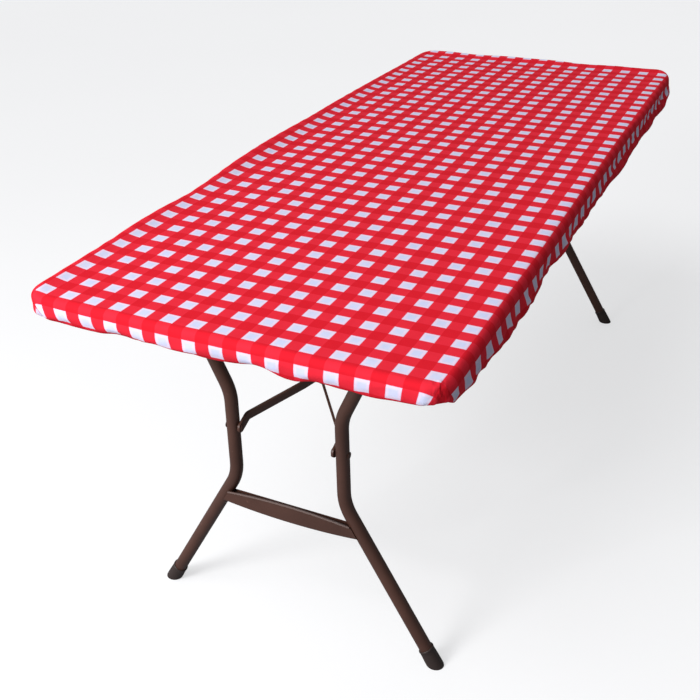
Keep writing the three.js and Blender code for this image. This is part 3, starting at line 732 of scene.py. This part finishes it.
def build_cloth():
    P, F, U, loose, n, W = skirt_shape()
    Q = relax(P, F, W, loose)
    # cap how far any point moved
    d = Q - P
    far = np.linalg.norm(d, axis=2, keepdims=True)
    Q = P + d * np.minimum(1, 0.020 / np.maximum(far, 1e-9))
    R, N = Q.shape[:2]
    edge = [tuple(p[:2]) for p in P[0]]
    # points over the flat middle
    xs = np.arange(-A + 0.045, A - 0.044, 0.0145)
    ys = np.arange(-B + 0.045, B - 0.044, 0.0145)
    gx, gy = np.meshgrid(xs, ys)
    inner = np.stack([gx.ravel(), gy.ravel()], 1)
    qx = np.abs(inner[:, 0]) - (A - RC)
    qy = np.abs(inner[:, 1]) - (B - RC)
    rad = np.hypot(np.maximum(qx, 0), np.maximum(qy, 0)) + np.minimum(np.maximum(qx, qy), 0)
    inner = inner[rad < RC + START - 0.006]
    pts = [Vector(p) for p in edge] + [Vector(p) for p in inner]
    loop = [(i, (i + 1) % N) for i in range(N)]
    v2, _, f2, _, _, _ = delaunay_2d_cdt(pts, loop, [], 1, 1e-6)
    assert len(v2) == len(pts), "the flat middle changed its points"
    mid = np.array([[p[0], p[1]] for p in v2])
    # very low waves over the flat, fading out at the edge
    qx = np.abs(mid[:, 0]) - (A - RC)
    qy = np.abs(mid[:, 1]) - (B - RC)
    rad = np.hypot(np.maximum(qx, 0), np.maximum(qy, 0)) + np.minimum(np.maximum(qx, qy), 0)
    fade = np.clip((RC + START - rad) / 0.05, 0, 1)
    wob = (np.sin(mid[:, 0] * 21 + 3 * np.sin(mid[:, 1] * 9)) * 0.5 + np.sin(mid[:, 1] * 34 + mid[:, 0] * 13) * 0.4 + np.sin(mid[:, 0] * 57 - mid[:, 1] * 23 + 1) * 0.25)
    z = TOP + 0.00035 * wob * fade
    verts = np.concatenate([Q.reshape(-1, 3), np.stack([mid[N:, 0], mid[N:, 1], z[N:]], 1)])
    uv = printed(np.concatenate([U.reshape(-1, 2), mid[N:]]))
    f = ring_faces(R, N).tolist()
    for t in f2:
        f.append([i if i < N else i - N + R * N for i in t])
    ob = make("tablecloth_sheet", verts, f, CLOTH, None, uv=uv)
    outward(ob)
    # the outside is up: turn it if the recalculation chose the other side
    up = sum(p.normal.z * p.area for p in ob.data.polygons)
    if up < 0:
        ob.data.flip_normals()
    sub = ob.modifiers.new("fine", "SUBSURF")
    sub.levels = sub.render_levels = 1
    thick = ob.modifiers.new("thick", "SOLIDIFY")
    thick.thickness = SHEET
    thick.offset = -1
    apply_modifiers(ob)
    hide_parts("tablecloth")
    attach(ob, "table")
    return ob, Q, U, n, W


def apply_modifiers(ob):
    bpy.context.view_layer.update()
    dg = bpy.context.evaluated_depsgraph_get()
    me = bpy.data.meshes.new_from_object(ob.evaluated_get(dg), preserve_all_data_layers=True, depsgraph=dg)
    ob.modifiers.clear()
    old = ob.data
    ob.data = me
    bpy.data.meshes.remove(old)
    me.polygons.foreach_set("use_smooth", [True] * len(me.polygons))


def closed_resample(p, step, extra=()):
    """Points spaced evenly round a closed line, with other per-point values carried along."""
    q = np.concatenate([p, p[:1]])
    d = np.concatenate([[0], np.cumsum(np.linalg.norm(np.diff(q, axis=0), axis=1))])
    m = int(round(d[-1] / step))
    t = np.linspace(0, d[-1], m, endpoint=False)
    res = [np.stack([np.interp(t, d, q[:, i]) for i in range(q.shape[1])], 1)]
    for e in extra:
        e2 = np.concatenate([e, e[:1]])
        res.append(np.stack([np.interp(t, d, e2[:, i]) for i in range(e2.shape[1])], 1))
    return res, d[-1]


def smooth_closed(a, n):
    for _ in range(n):
        a = (np.roll(a, 1, 0) + 2 * a + np.roll(a, -1, 0)) / 4
    return a


cloth, Q, F, EN, WW = build_cloth()


def build_hem():
    hem, before = Q[-1], Q[-3]
    d = hem - before
    d /= np.linalg.norm(d, axis=1)[:, None]
    d = smooth_closed(d, 30)
    (p, dd, uvb, en), total = closed_resample(hem, 0.0026, (d, F[-1], EN))
    p = smooth_closed(p, 3)
    dd[:, 2] = np.clip(dd[:, 2], -0.15, 0.25)
    t = np.roll(p, -1, 0) - np.roll(p, 1, 0)
    t /= np.linalg.norm(t, axis=1)[:, None]
    dd -= t * (dd * t).sum(1)[:, None]
    dd /= np.linalg.norm(dd, axis=1)[:, None]
    up = np.cross(t, dd)
    up *= np.sign(up[:, 2:3])
    M = len(p)
    s = np.arange(M) * total / M
    rng = np.random.default_rng(4)
    ruffle = np.sin(s / 0.0085 * 2 * math.pi + 2.0 * np.sin(s / 0.11)) + 0.6 * np.sin(s / 0.0049 * 2 * math.pi)
    sides = 14
    w = np.linspace(0, 2 * math.pi, sides, endpoint=False)
    half_w, half_t = 0.0062, 0.0019
    centre = p + dd * 0.0045 - up * 0.0002
    wob = (0.00055 * ruffle)[:, None, None] * up[:, None] * (0.5 + 0.5 * np.cos(w))[None, :, None]
    sec = centre[:, None] + half_w * np.cos(w)[None, :, None] * dd[:, None] + half_t * np.sin(w)[None, :, None] * up[:, None] + wob
    uv = uvb[:, None] + en[:, None] * (0.004 + 0.0075 * (1 - np.cos(w)) / 2 * 2 * 0.8 * np.sign(np.cos(w) + 2))[None, :, None]
    f = ring_faces(M, sides, closed=True).tolist()
    casing = make("hem_fold", sec.reshape(-1, 3), f, CLOTH, None, uv=printed(uv.reshape(-1, 2)))
    outward(casing)
    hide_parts("hem_casing")
    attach(casing, "table")
    # the elastic inside it
    (e,), _ = closed_resample(centre, 0.008)
    v = []
    te = np.roll(e, -1, 0) - np.roll(e, 1, 0)
    te /= np.linalg.norm(te, axis=1)[:, None]
    ue = np.cross(te, np.array([0, 0, 1.0]))
    ue /= np.linalg.norm(ue, axis=1)[:, None]
    ze = np.cross(ue, te)
    w8 = np.linspace(0, 2 * math.pi, 8, endpoint=False)
    ring = e[:, None] + 0.0036 * np.cos(w8)[None, :, None] * ue[:, None] + 0.0007 * np.sin(w8)[None, :, None] * ze[:, None]
    el = make("elastic_band", ring.reshape(-1, 3), ring_faces(len(e), 8, closed=True).tolist(), ELASTIC, None)
    outward(el)
    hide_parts("hem_elastic")
    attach(el, "table")
    # lockstitch that closes the casing, a thread's width proud of the underside
    (a,), tot = closed_resample(p - dd * 0.0012 - up * 0.0013, 0.0034)
    ta = np.roll(a, -1, 0) - a
    ta /= np.linalg.norm(ta, axis=1)[:, None]
    sa = np.cross(ta, np.array([0, 0, 1.0]))
    sa /= np.linalg.norm(sa, axis=1)[:, None]
    ua = np.cross(sa, ta)
    v, f = [], []
    for i in range(len(a)):
        o = a[i]
        b = len(v)
        for along, r in ((-0.0012, 0.00012), (-0.0006, 0.00026), (0.0006, 0.00026), (0.0012, 0.00012)):
            for k in range(5):
                x = 2 * math.pi * k / 5
                v.append(o + ta[i] * along + r * (math.cos(x) * sa[i] + math.sin(x) * ua[i]))
        for r in range(3):
            for k in range(5):
                k2 = (k + 1) % 5
                f.append((b + r * 5 + k, b + r * 5 + 5 + k, b + r * 5 + 5 + k2, b + r * 5 + k2))
        f.append([b + k for k in range(5)])
        f.append([b + 15 + k for k in range(5)][::-1])
    st = make("hem_stitching", v, f, THREAD, None)
    outward(st)
    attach(st, "table")
    return casing, el, st


casing, elastic, stitching = build_hem()


# ------------------------------------------------------------------ the moulded top
def build_board():
    prof, c, n, r = board_rings(0.0085, hx=0.9109, hy=0.3775, step=0.016, corner=18, inner=-0.030)
    prof = [(o, z - 0.0017 * (z > 0.72)) for o, z in prof]
    one = np.ones(len(c))
    # on under the rim, up the side of the recess and out over the panel
    for o, z in ((-0.012, 0.7027), (-0.0300, 0.7027), (-0.0315, 0.7034), (-0.0325, 0.7055), (-0.0335, 0.7110), (-0.0345, 0.7126), (-0.0365, 0.7130)):
        prof.append((o * one, z * one))
    v = row_points(prof, c, n, r)
    N, R = len(c), len(prof)
    f = ring_faces(R, N).tolist()
    parts_v, parts_f = [v], list(f)

    def cap(ring, spacing, z_of, margin, turn):
        base = sum(len(x) for x in parts_v)
        loop = v[ring * N:(ring + 1) * N]
        hx, hy = np.abs(loop[:, 0]).max(), np.abs(loop[:, 1]).max()
        xs = np.arange(-hx + margin, hx - margin + 1e-6, spacing)
        ys = np.arange(-hy + margin, hy - margin + 1e-6, spacing)
        gx, gy = np.meshgrid(xs, ys)
        g = np.stack([gx.ravel(), gy.ravel()], 1)
        cr = 0.02
        qx, qy = np.abs(g[:, 0]) - (hx - cr), np.abs(g[:, 1]) - (hy - cr)
        rad = np.hypot(np.maximum(qx, 0), np.maximum(qy, 0)) + np.minimum(np.maximum(qx, qy), 0)
        g = g[rad < cr - margin * 0.8]
        pts = [Vector(p[:2]) for p in loop] + [Vector(p) for p in g]
        v2, _, f2, _, _, _ = delaunay_2d_cdt(pts, [(i, (i + 1) % N) for i in range(N)], [], 1, 1e-7)
        mid = np.array([[p[0], p[1]] for p in v2])[N:]
        parts_v.append(np.stack([mid[:, 0], mid[:, 1], z_of(mid[:, 0], mid[:, 1])], 1))
        for t in f2:
            t = [ring * N + i if i < N else base + i - N for i in t]
            parts_f.append(t[::-1] if turn else t)

    cap(0, 0.06, lambda x, y: np.full_like(x, 0.7350), 0.03, False)

    def dimples(x, y):
        # rows of shallow kiss-off dimples, set like bricks, kept clear of rails and brackets
        px, py = 0.048, 0.042
        row = np.round(y / py)
        ox = np.where(row % 2 == 0, 0, px / 2)
        dx = (x - ox) - np.round((x - ox) / px) * px
        dy = y - row * py
        d = np.hypot(dx, dy) / 0.0125
        hole = 0.0050 * np.clip(1 - d ** 2, 0, 1) ** 0.7
        clear = (np.abs(y) < 0.300) & (np.abs(x) < 0.84) & ~((np.abs(x) < 0.085) & (np.abs(y) < 0.03))
        return 0.7130 + np.where(clear, hole, 0)

    cap(R - 1, 0.0052, dimples, 0.007, True)
    ob = make("moulded_board", np.concatenate(parts_v), parts_f, BOARD, None)
    outward(ob)
    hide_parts("tabletop")
    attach(ob, "table")
    return ob


board = build_board()

# ------------------------------------------------------------------ legs
LEG_X, PIVOT_Z, TUBE_R = 0.720, 0.680, 0.0127
FOOT_Y, WAIST_Y, WAIST_LOW, WAIST_HIGH, HEAD_Y, BEND = 0.293, 0.1135, 0.315, 0.4985, 0.197, 0.100
KNEE, LINK_PIVOT, LOCK_Z = (-0.5769, 0.4823), (-0.040, 0.697), 0.425


def bent(points, radius, step=0.006):
    """Points along straights joined by arcs."""
    p = [np.array(q, float) for q in points]
    out = [p[0]]
    for i in range(1, len(p) - 1):
        u = p[i] - p[i - 1]
        u /= np.linalg.norm(u)
        w = p[i + 1] - p[i]
        w /= np.linalg.norm(w)
        turn = math.acos(np.clip(u @ w, -1, 1))
        t = radius * math.tan(turn / 2)
        a = p[i] - u * t
        side = w - u * (u @ w)
        side /= np.linalg.norm(side)
        n = max(4, int(radius * turn / step))
        for k in range(n + 1):
            x = turn * k / n
            out.append(a + u * radius * math.sin(x) + side * radius * (1 - math.cos(x)))
    out.append(p[-1])
    dense = [out[0]]
    for a, b in zip(out, out[1:]):
        n = max(1, int(np.linalg.norm(b - a) / 0.02))
        for k in range(1, n + 1):
            dense.append(a + (b - a) * k / n)
    return np.array(dense)


def foot_point(s, up):
    k = (FOOT_Y - WAIST_Y) / WAIST_LOW
    return np.array([-LEG_X, s * (FOOT_Y - k * up), up])


def leg(end, side, s):
    line = bent([foot_point(s, 0.010), (-LEG_X, s * WAIST_Y, WAIST_LOW), (-LEG_X, s * WAIST_Y, WAIST_HIGH), (-LEG_X, s * (HEAD_Y - 0.0025), PIVOT_Z - 0.0055)], BEND)
    v, f = tube(line, TUBE_R, 40)
    ob = make(f"leg_bent_tube_{end}_{side}", turned_half(v, end), f, PAINT, None)
    outward(ob)
    creased(ob, 50)
    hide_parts(f"leg_tube_{end}_{side}")
    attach(ob, f"leg_{end}")
    # weld where the tube meets the crossbar
    d = line[-1] - line[-2]
    d /= np.linalg.norm(d)
    a = np.array([1.0, 0, 0])
    b = np.cross(d, a)
    c0 = line[-1]
    bead = []
    for x in np.linspace(0, 2 * math.pi, 64, endpoint=False):
        o = c0 + TUBE_R * (math.cos(x) * a + math.sin(x) * b)
        # walk back along the tube until the point is on the crossbar's surface
        ts = np.linspace(-0.03, 0.0, 200)
        q = o[None] + d[None] * ts[:, None]
        dist = np.hypot(q[:, 0] + LEG_X, q[:, 2] - PIVOT_Z)
        bead.append(q[np.argmin(np.abs(dist - TUBE_R))])
    bead = smooth_closed(np.array(bead), 2)
    t = np.roll(bead, -1, 0) - np.roll(bead, 1, 0)
    t /= np.linalg.norm(t, axis=1)[:, None]
    out = bead - c0
    out -= d * (out @ d)[:, None]
    out /= np.linalg.norm(out, axis=1)[:, None]
    up = np.cross(t, out)
    w = np.linspace(0, 2 * math.pi, 8, endpoint=False)
    ripple = 0.0019 + 0.0004 * np.sin(np.arange(64) * 1.9) + 0.0003 * np.sin(np.arange(64) * 0.7 + s)
    rings = bead[:, None] + ripple[:, None, None] * (np.cos(w)[None, :, None] * out[:, None] + np.sin(w)[None, :, None] * up[:, None])
    wb = make(f"leg_weld_{end}_{side}", turned_half(rings.reshape(-1, 3), end), ring_faces(64, 8, closed=True).tolist(), PAINT, None)
    outward(wb)
    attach(wb, f"leg_{end}")
    # cap on the foot, cut flat at the floor, with a rolled lip
    axis = foot_point(s, 0.040) - foot_point(s, 0)
    axis /= np.linalg.norm(axis)
    b = np.cross(axis, a)
    rows = []
    top = foot_point(s, 0.034)
    w = np.linspace(0, 2 * math.pi, 40, endpoint=False)
    ringdir = np.cos(w)[:, None] * a + np.sin(w)[:, None] * b
    for r, h in ((TUBE_R + 0.0002, 0.0), (0.0142, 0.0), (0.0149, -0.0007), (0.0151, -0.002), (0.0149, -0.0033), (0.0145, -0.0042), (0.0146, -0.012), (0.0150, -0.020)):
        rows.append(top + axis * h + r * ringdir)
    last = rows[-1]
    for share, r in ((0.5, 0.0152), (0.9, 0.0152), (0.975, 0.0149), (1.0, 0.0140)):
        p = top + axis * -0.020 + r * ringdir
        drop = p[:, 2] / axis[2]
        rows.append(p - axis * (drop * share)[:, None])
    v = np.concatenate(rows)
    v[:, 2] = np.maximum(v[:, 2], 0)
    f = ring_faces(len(rows), 40).tolist()
    f.append([(len(rows) - 1) * 40 + i for i in range(40)])
    f.append(list(range(40)))
    cap = make(f"foot_shoe_{end}_{side}", turned_half(v, end), f, NYLON, None)
    outward(cap)
    creased(cap, 45)
    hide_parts(f"foot_cap_{end}_{side}")
    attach(cap, f"leg_{end}")


def crossbar(end):
    pts = [(-LEG_X, y, PIVOT_Z) for y in (-0.333, -0.3325, -0.33, -0.2, 0, 0.2, 0.33, 0.3325, 0.333)]
    prof = [(0, -0.331), (0.0108, -0.331), (0.0112, -0.333), (0.0122, -0.333), (TUBE_R, -0.3324), (TUBE_R, -0.2), (TUBE_R, 0), (TUBE_R, 0.2), (TUBE_R, 0.3324), (0.0122, 0.333), (0.0112, 0.333), (0.0108, 0.331), (0, 0.331)]
    v, f = lathe(prof, (-LEG_X, 0, PIVOT_Z), (0, 1, 0), 40)
    ob = make(f"leg_cross_tube_{end}", turned_half(v, end), f, PAINT, None)
    outward(ob)
    creased(ob, 40)
    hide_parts(f"leg_crossbar_{end}")
    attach(ob, f"leg_{end}")


def stretcher(end):
    """Pressed channel: a folded strip with rolled lips, deeper in the middle."""
    out_x, in_x, t = -LEG_X - 0.014, -LEG_X + 0.0035, 0.0022
    low_end, low_mid = 0.252, 0.244

    def section(bow):
        low = low_end + (low_mid - low_end) * bow
        r = 0.0042
        # the outer flange arches a little, the inner one is straight and lower
        top = 0.2770 + 0.0070 * bow
        line = [(out_x - 0.0012, top - 0.0008), (out_x - 0.0010, top + 0.0002), (out_x + 0.0002, top - 0.0002), (out_x, top - 0.003), (out_x, (top + low) / 2), (out_x, low + r)]
        for i in range(1, 6):
            a = i / 6 * math.pi / 2
            line.append((out_x + r - r * math.cos(a), low + r - r * math.sin(a)))
        line += [(out_x + r, low), (in_x - r, low)]
        for i in range(1, 6):
            a = i / 6 * math.pi / 2
            line.append((in_x - r + r * math.sin(a), low + r - r * math.cos(a)))
        top = 0.2735
        line += [(in_x, low + r), (in_x, (top + low) / 2), (in_x, top - 0.003), (in_x, top)]
        line = np.array(line)
        d = np.gradient(line, axis=0)
        d /= np.linalg.norm(d, axis=1)[:, None]
        nrm = np.stack([-d[:, 1], d[:, 0]], 1)  # towards the inside of the channel
        return line, line + nrm * t

    rows = []
    M = 61
    for k in range(M):
        u = -1 + 2 * k / (M - 1)
        outer, inner = section(1 - u * u)
        loop = np.concatenate([outer, inner[::-1]])
        y = u * (FOOT_Y - (FOOT_Y - WAIST_Y) / WAIST_LOW * loop[:, 1] - 0.0055)
        rows.append(np.stack([loop[:, 0], y, loop[:, 1]], 1))
    n = len(rows[0])
    v = np.concatenate(rows)
    f = ring_faces(M, n).tolist()
    h = n // 2
    for base, turn in ((0, False), ((M - 1) * n, True)):
        for i in range(h - 1):
            q = [base + i, base + i + 1, base + n - 2 - i, base + n - 1 - i]
            f.append(q[::-1] if turn else q)
    ob = make(f"leg_channel_{end}", turned_half(v, end), f, PAINT, None)
    outward(ob)
    creased(ob, 50)
    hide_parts(f"leg_stretcher_{end}")
    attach(ob, f"leg_{end}")


ALPHA = math.atan2(LINK_PIVOT[1] - KNEE[1], LINK_PIVOT[0] - KNEE[0])
BRACE_L = math.hypot(KNEE[0] + LEG_X, KNEE[1] - LOCK_Z)
LINK_L = math.hypot(LINK_PIVOT[0] - KNEE[0], LINK_PIVOT[1] - KNEE[1])


def slope(x0, z0, s, y, t):
    """A point s along the brace line, y across, t square to it."""
    return np.stack([x0 + s * math.cos(ALPHA) - t * math.sin(ALPHA), y, z0 + s * math.sin(ALPHA) + t * math.cos(ALPHA)], -1)


def brace_arm(end, side, sign):
    knee_y = 0.0055
    line = bent([(-0.010, 0.097, 0), (0.0270, 0.097, 0), (BRACE_L - 0.011, knee_y, 0), (BRACE_L + 0.008, knee_y, 0)], 0.009, 0.0015)
    # even steps, closer at both rounded ends
    d = np.concatenate([[0], np.cumsum(np.linalg.norm(np.diff(line, axis=0), axis=1))])
    end_d = 0.010 * (1 - np.cos(np.linspace(0, math.pi / 2, 12)))
    ts = np.unique(np.concatenate([end_d, np.linspace(0.010, d[-1] - 0.008, 90), d[-1] - end_d[::-1] * 0.8]))
    line = np.stack([np.interp(ts, d, line[:, i]) for i in range(2)], 1)
    tan = np.gradient(line, axis=0)
    tan /= np.linalg.norm(tan, axis=1)[:, None]
    nrm = np.stack([-tan[:, 1], tan[:, 0]], 1)
    total = ts[-1]
    hh = np.full(len(ts), 0.010)
    blend = np.clip((ts - (total - 0.046)) / 0.020, 0, 1)
    hh = hh + (0.008 - hh) * blend
    near = ts < 0.010
    hh[near] = np.sqrt(np.maximum(0.010 ** 2 - (0.010 - ts[near]) ** 2, 1e-9))
    far = ts > total - 0.008
    hh[far] = np.sqrt(np.maximum(0.008 ** 2 - (0.008 - (total - ts[far])) ** 2, 1e-9))
    hh = np.maximum(hh, 0.0012)
    half = 0.0025
    r = 0.0009
    rows = []
    for p, nn, h in zip(line, nrm, hh):
        rr = min(r, h * 0.6)
        sec = []
        for cx, cy, a0 in ((half - rr, h - rr, 0), (-half + rr, h - rr, 90), (-half + rr, -h + rr, 180), (half - rr, -h + rr, 270)):
            for k in range(4):
                a = math.radians(a0 + 30 * k)
                sec.append((cx + rr * math.cos(a), cy + rr * math.sin(a)))
        sec = np.array(sec)
        s = p[0] + nn[0] * sec[:, 0]
        y = (p[1] + nn[1] * sec[:, 0]) * sign
        rows.append(slope(-LEG_X, LOCK_Z, s, y, sec[:, 1]))
    n = len(rows[0])
    f = ring_faces(len(rows), n).tolist() + [list(range(n)), [(len(rows) - 1) * n + i for i in range(n)][::-1]]
    ob = make(f"brace_strap_{end}_{side}", turned_half(np.concatenate(rows), end), f, PAINT, None)
    outward(ob)
    creased(ob, 40)
    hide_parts(f"brace_arm_{end}_{side}")
    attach(ob, f"brace_{end}")


def link_bar(end):
    """Round tube pressed flat at both ends."""
    s = np.unique(np.concatenate([
        -0.008 * np.cos(np.linspace(0, math.pi / 2, 10)),
        np.linspace(0, 0.050, 26),
        np.linspace(0.05, LINK_L - 0.05, 24),
        np.linspace(LINK_L - 0.050, LINK_L, 26),
        LINK_L + 0.008 * np.sin(np.linspace(0, math.pi / 2, 10)),
    ]))
    w = np.linspace(0, 2 * math.pi, 40, endpoint=False)
    rows = []
    for x in s:
        d = min(x, LINK_L - x)
        flat = 1 - np.clip((d - 0.020) / 0.018, 0, 1)
        flat = flat * flat * (3 - 2 * flat)
        ry = 0.008 + (0.0025 - 0.008) * flat
        rz = 0.008
        if d < 0:
            rz = math.sqrt(max(0.008 ** 2 - d * d, 1e-7))
            ry = min(ry, max(rz, 0.0008))
        power = 1 - 0.55 * flat
        cy, cz = np.cos(w), np.sin(w)
        y = ry * np.sign(cy) * np.abs(cy) ** power
        t = rz * np.sign(cz) * np.abs(cz) ** power
        rows.append(slope(KNEE[0], KNEE[1], np.full(40, x), y, t))
    f = ring_faces(len(rows), 40).tolist() + [list(range(40)), [(len(rows) - 1) * 40 + i for i in range(40)][::-1]]
    ob = make(f"brace_long_link_{end}", turned_half(np.concatenate(rows), end), f, PAINT, None)
    outward(ob)
    creased(ob, 50)
    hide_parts(f"brace_link_{end}")
    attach(ob, f"link_{end}")


def lock_ring(end):
    r_in, wall, hang = 0.012, 0.0025, 0.012
    path = []
    for i in range(25):
        a = math.pi * i / 24
        path.append((math.cos(a), math.sin(a), -0.0005))
    for i in range(25):
        a = math.pi + math.pi * i / 24
        path.append((math.cos(a), math.sin(a), -hang))
    path = np.array(path)
    x0, x1, r = -0.006, 0.014, 0.0009
    sec = []
    for cx, cr, a0 in ((x1 - r, wall - r, 0), (x0 + r, wall - r, 90), (x0 + r, r, 180), (x1 - r, r, 270)):
        for k in range(4):
            a = math.radians(a0 + 30 * k)
            sec.append((cx + r * math.cos(a), cr + r * math.sin(a)))
    sec = np.array(sec)
    rows = []
    for cy, cz, oz in path:
        rad = r_in + sec[:, 1]
        rows.append(slope(KNEE[0], KNEE[1], sec[:, 0], cy * rad, cz * rad + oz))
    f = ring_faces(len(rows), len(sec), closed=True).tolist()
    ob = make(f"knee_lock_{end}", turned_half(np.concatenate(rows), end), f, PAINT, None)
    outward(ob)
    creased(ob, 50)
    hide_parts(f"lock_ring_{end}")
    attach(ob, f"ring_{end}")


def small(name, profile, point, axis, mat, body, node, end, sides=32, crease=40):
    v, f = lathe(profile, point, axis, sides)
    ob = make(name, turned_half(v, end), f, mat, None)
    outward(ob)
    creased(ob, crease)
    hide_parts(node)
    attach(ob, body)
    return ob


def rivet_profile(r=0.007, h=0.0031):
    out = [(0, 0), (r - 0.0004, 0), (r, 0.0005)]
    for i in range(1, 9):
        a = i / 8 * math.pi / 2
        out.append((r * math.cos(a), 0.0005 + (h - 0.0005) * math.sin(a)))
    out[-1] = (0, h)
    return out


def pin_profile(half, head):
    e = 0.0006
    out = []
    for sgn in (-1, 1):
        side = [(0, sgn * (half + head)), (0.0035, sgn * (half + head)), (0.0044, sgn * (half + head - e * 0.4)), (0.005, sgn * (half + head * 0.45)), (0.005, sgn * (half + 0.0001)), (0.0035, sgn * half)]
        out.append(side)
    return out[0] + out[1][::-1]


def screw_profile():
    """Pan head with a dished recess, shank above."""
    return [(0, -0.0017), (0.0011, -0.0018), (0.0017, -0.0026), (0.0026, -0.0027), (0.0038, -0.0020), (0.0045, -0.0008), (0.0045, 0), (0.0023, 0), (0.0022, 0.009), (0, 0.0105)]


for end in ("left", "right"):
    flip = end == "right"
    named = {"front": "back" if flip else "front", "back": "front" if flip else "back"}
    crossbar(end)
    stretcher(end)
    for side, s in (("front", -1), ("back", 1)):
        real = named[side]
        leg(end, real, s)
        small(f"leg_rivet_head_{end}_{real}", rivet_profile(h=0.0020), (-LEG_X, s * (WAIST_Y + TUBE_R - 0.0002), LOCK_Z), (0, s, 0), PAINT, f"leg_{end}", f"leg_rivet_{end}_{real}", end)
        small(f"brace_rivet_head_{end}_{real}", rivet_profile(), (-LEG_X, s * 0.0943, LOCK_Z), (0, -s, 0), PAINT, f"brace_{end}", f"brace_rivet_{end}_{real}", end)
        bush = [(0.0131, 0.0003), (0.0135, 0), (0.0172, 0), (0.018, 0.0006), (0.018, 0.0016), (0.0176, 0.0019), (0.015, 0.0019), (0.015, 0.0062), (0.0147, 0.0065), (0.0133, 0.0065), (0.0131, 0.0062), (0.0131, 0.0003)]
        v, f = lathe(bush, (-LEG_X, s * 0.3198, PIVOT_Z), (0, s, 0), 40)
        v = turned_half(v, end)
        ob = make(f"rail_bush_{end}_{real}", v, f, NYLON, None)
        import bmesh
        bm = bmesh.new()
        bm.from_mesh(ob.data)
        bmesh.ops.remove_doubles(bm, verts=bm.verts, dist=1e-6)
        bm.to_mesh(ob.data)
        bm.free()
        outward(ob)
        creased(ob, 40)
        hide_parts(f"crossbar_bush_{end}_{real}")
        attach(ob, "table")
        brace_arm(end, real, s)
    link_bar(end)
    lock_ring(end)
    small(f"knee_rivet_{end}", pin_profile(0.0083, 0.002), (KNEE[0], 0, KNEE[1]), (0, 1, 0), ZINC, f"link_{end}", f"knee_pin_{end}", end)
    small(f"bracket_rivet_{end}", pin_profile(0.0056, 0.002), (LINK_PIVOT[0], 0, LINK_PIVOT[1]), (0, 1, 0), ZINC, "table", f"bracket_pin_{end}", end)
    for i, o in enumerate((-0.019, 0.019)):
        small(f"bracket_screw_head_{end}_{i + 1}", screw_profile(), (LINK_PIVOT[0] + o, 0, 0.7101), (0, 0, 1), ZINC, "table", f"bracket_screw_{end}_{i + 1}", end, 24)

for where, y in (("front", -0.332), ("back", 0.332)):
    for i, x in enumerate((-0.560, 0.0, 0.560)):
        small(f"rail_screw_head_{where}_{i + 1}", screw_profile(), (x, y, 0.7104), (0, 0, 1), ZINC, "table", f"rail_screw_{where}_{i + 1}", "left", 24)

# CAD nodes that stay get their own finish
for name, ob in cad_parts.items():
    if ob.hide_render:
        continue
    mat = ZINC if name.startswith("link_bracket") else PAINT
    for i in range(max(1, len(ob.material_slots))):
        if len(ob.material_slots) <= i:
            ob.data.materials.append(mat)
        else:
            ob.material_slots[i].material = mat
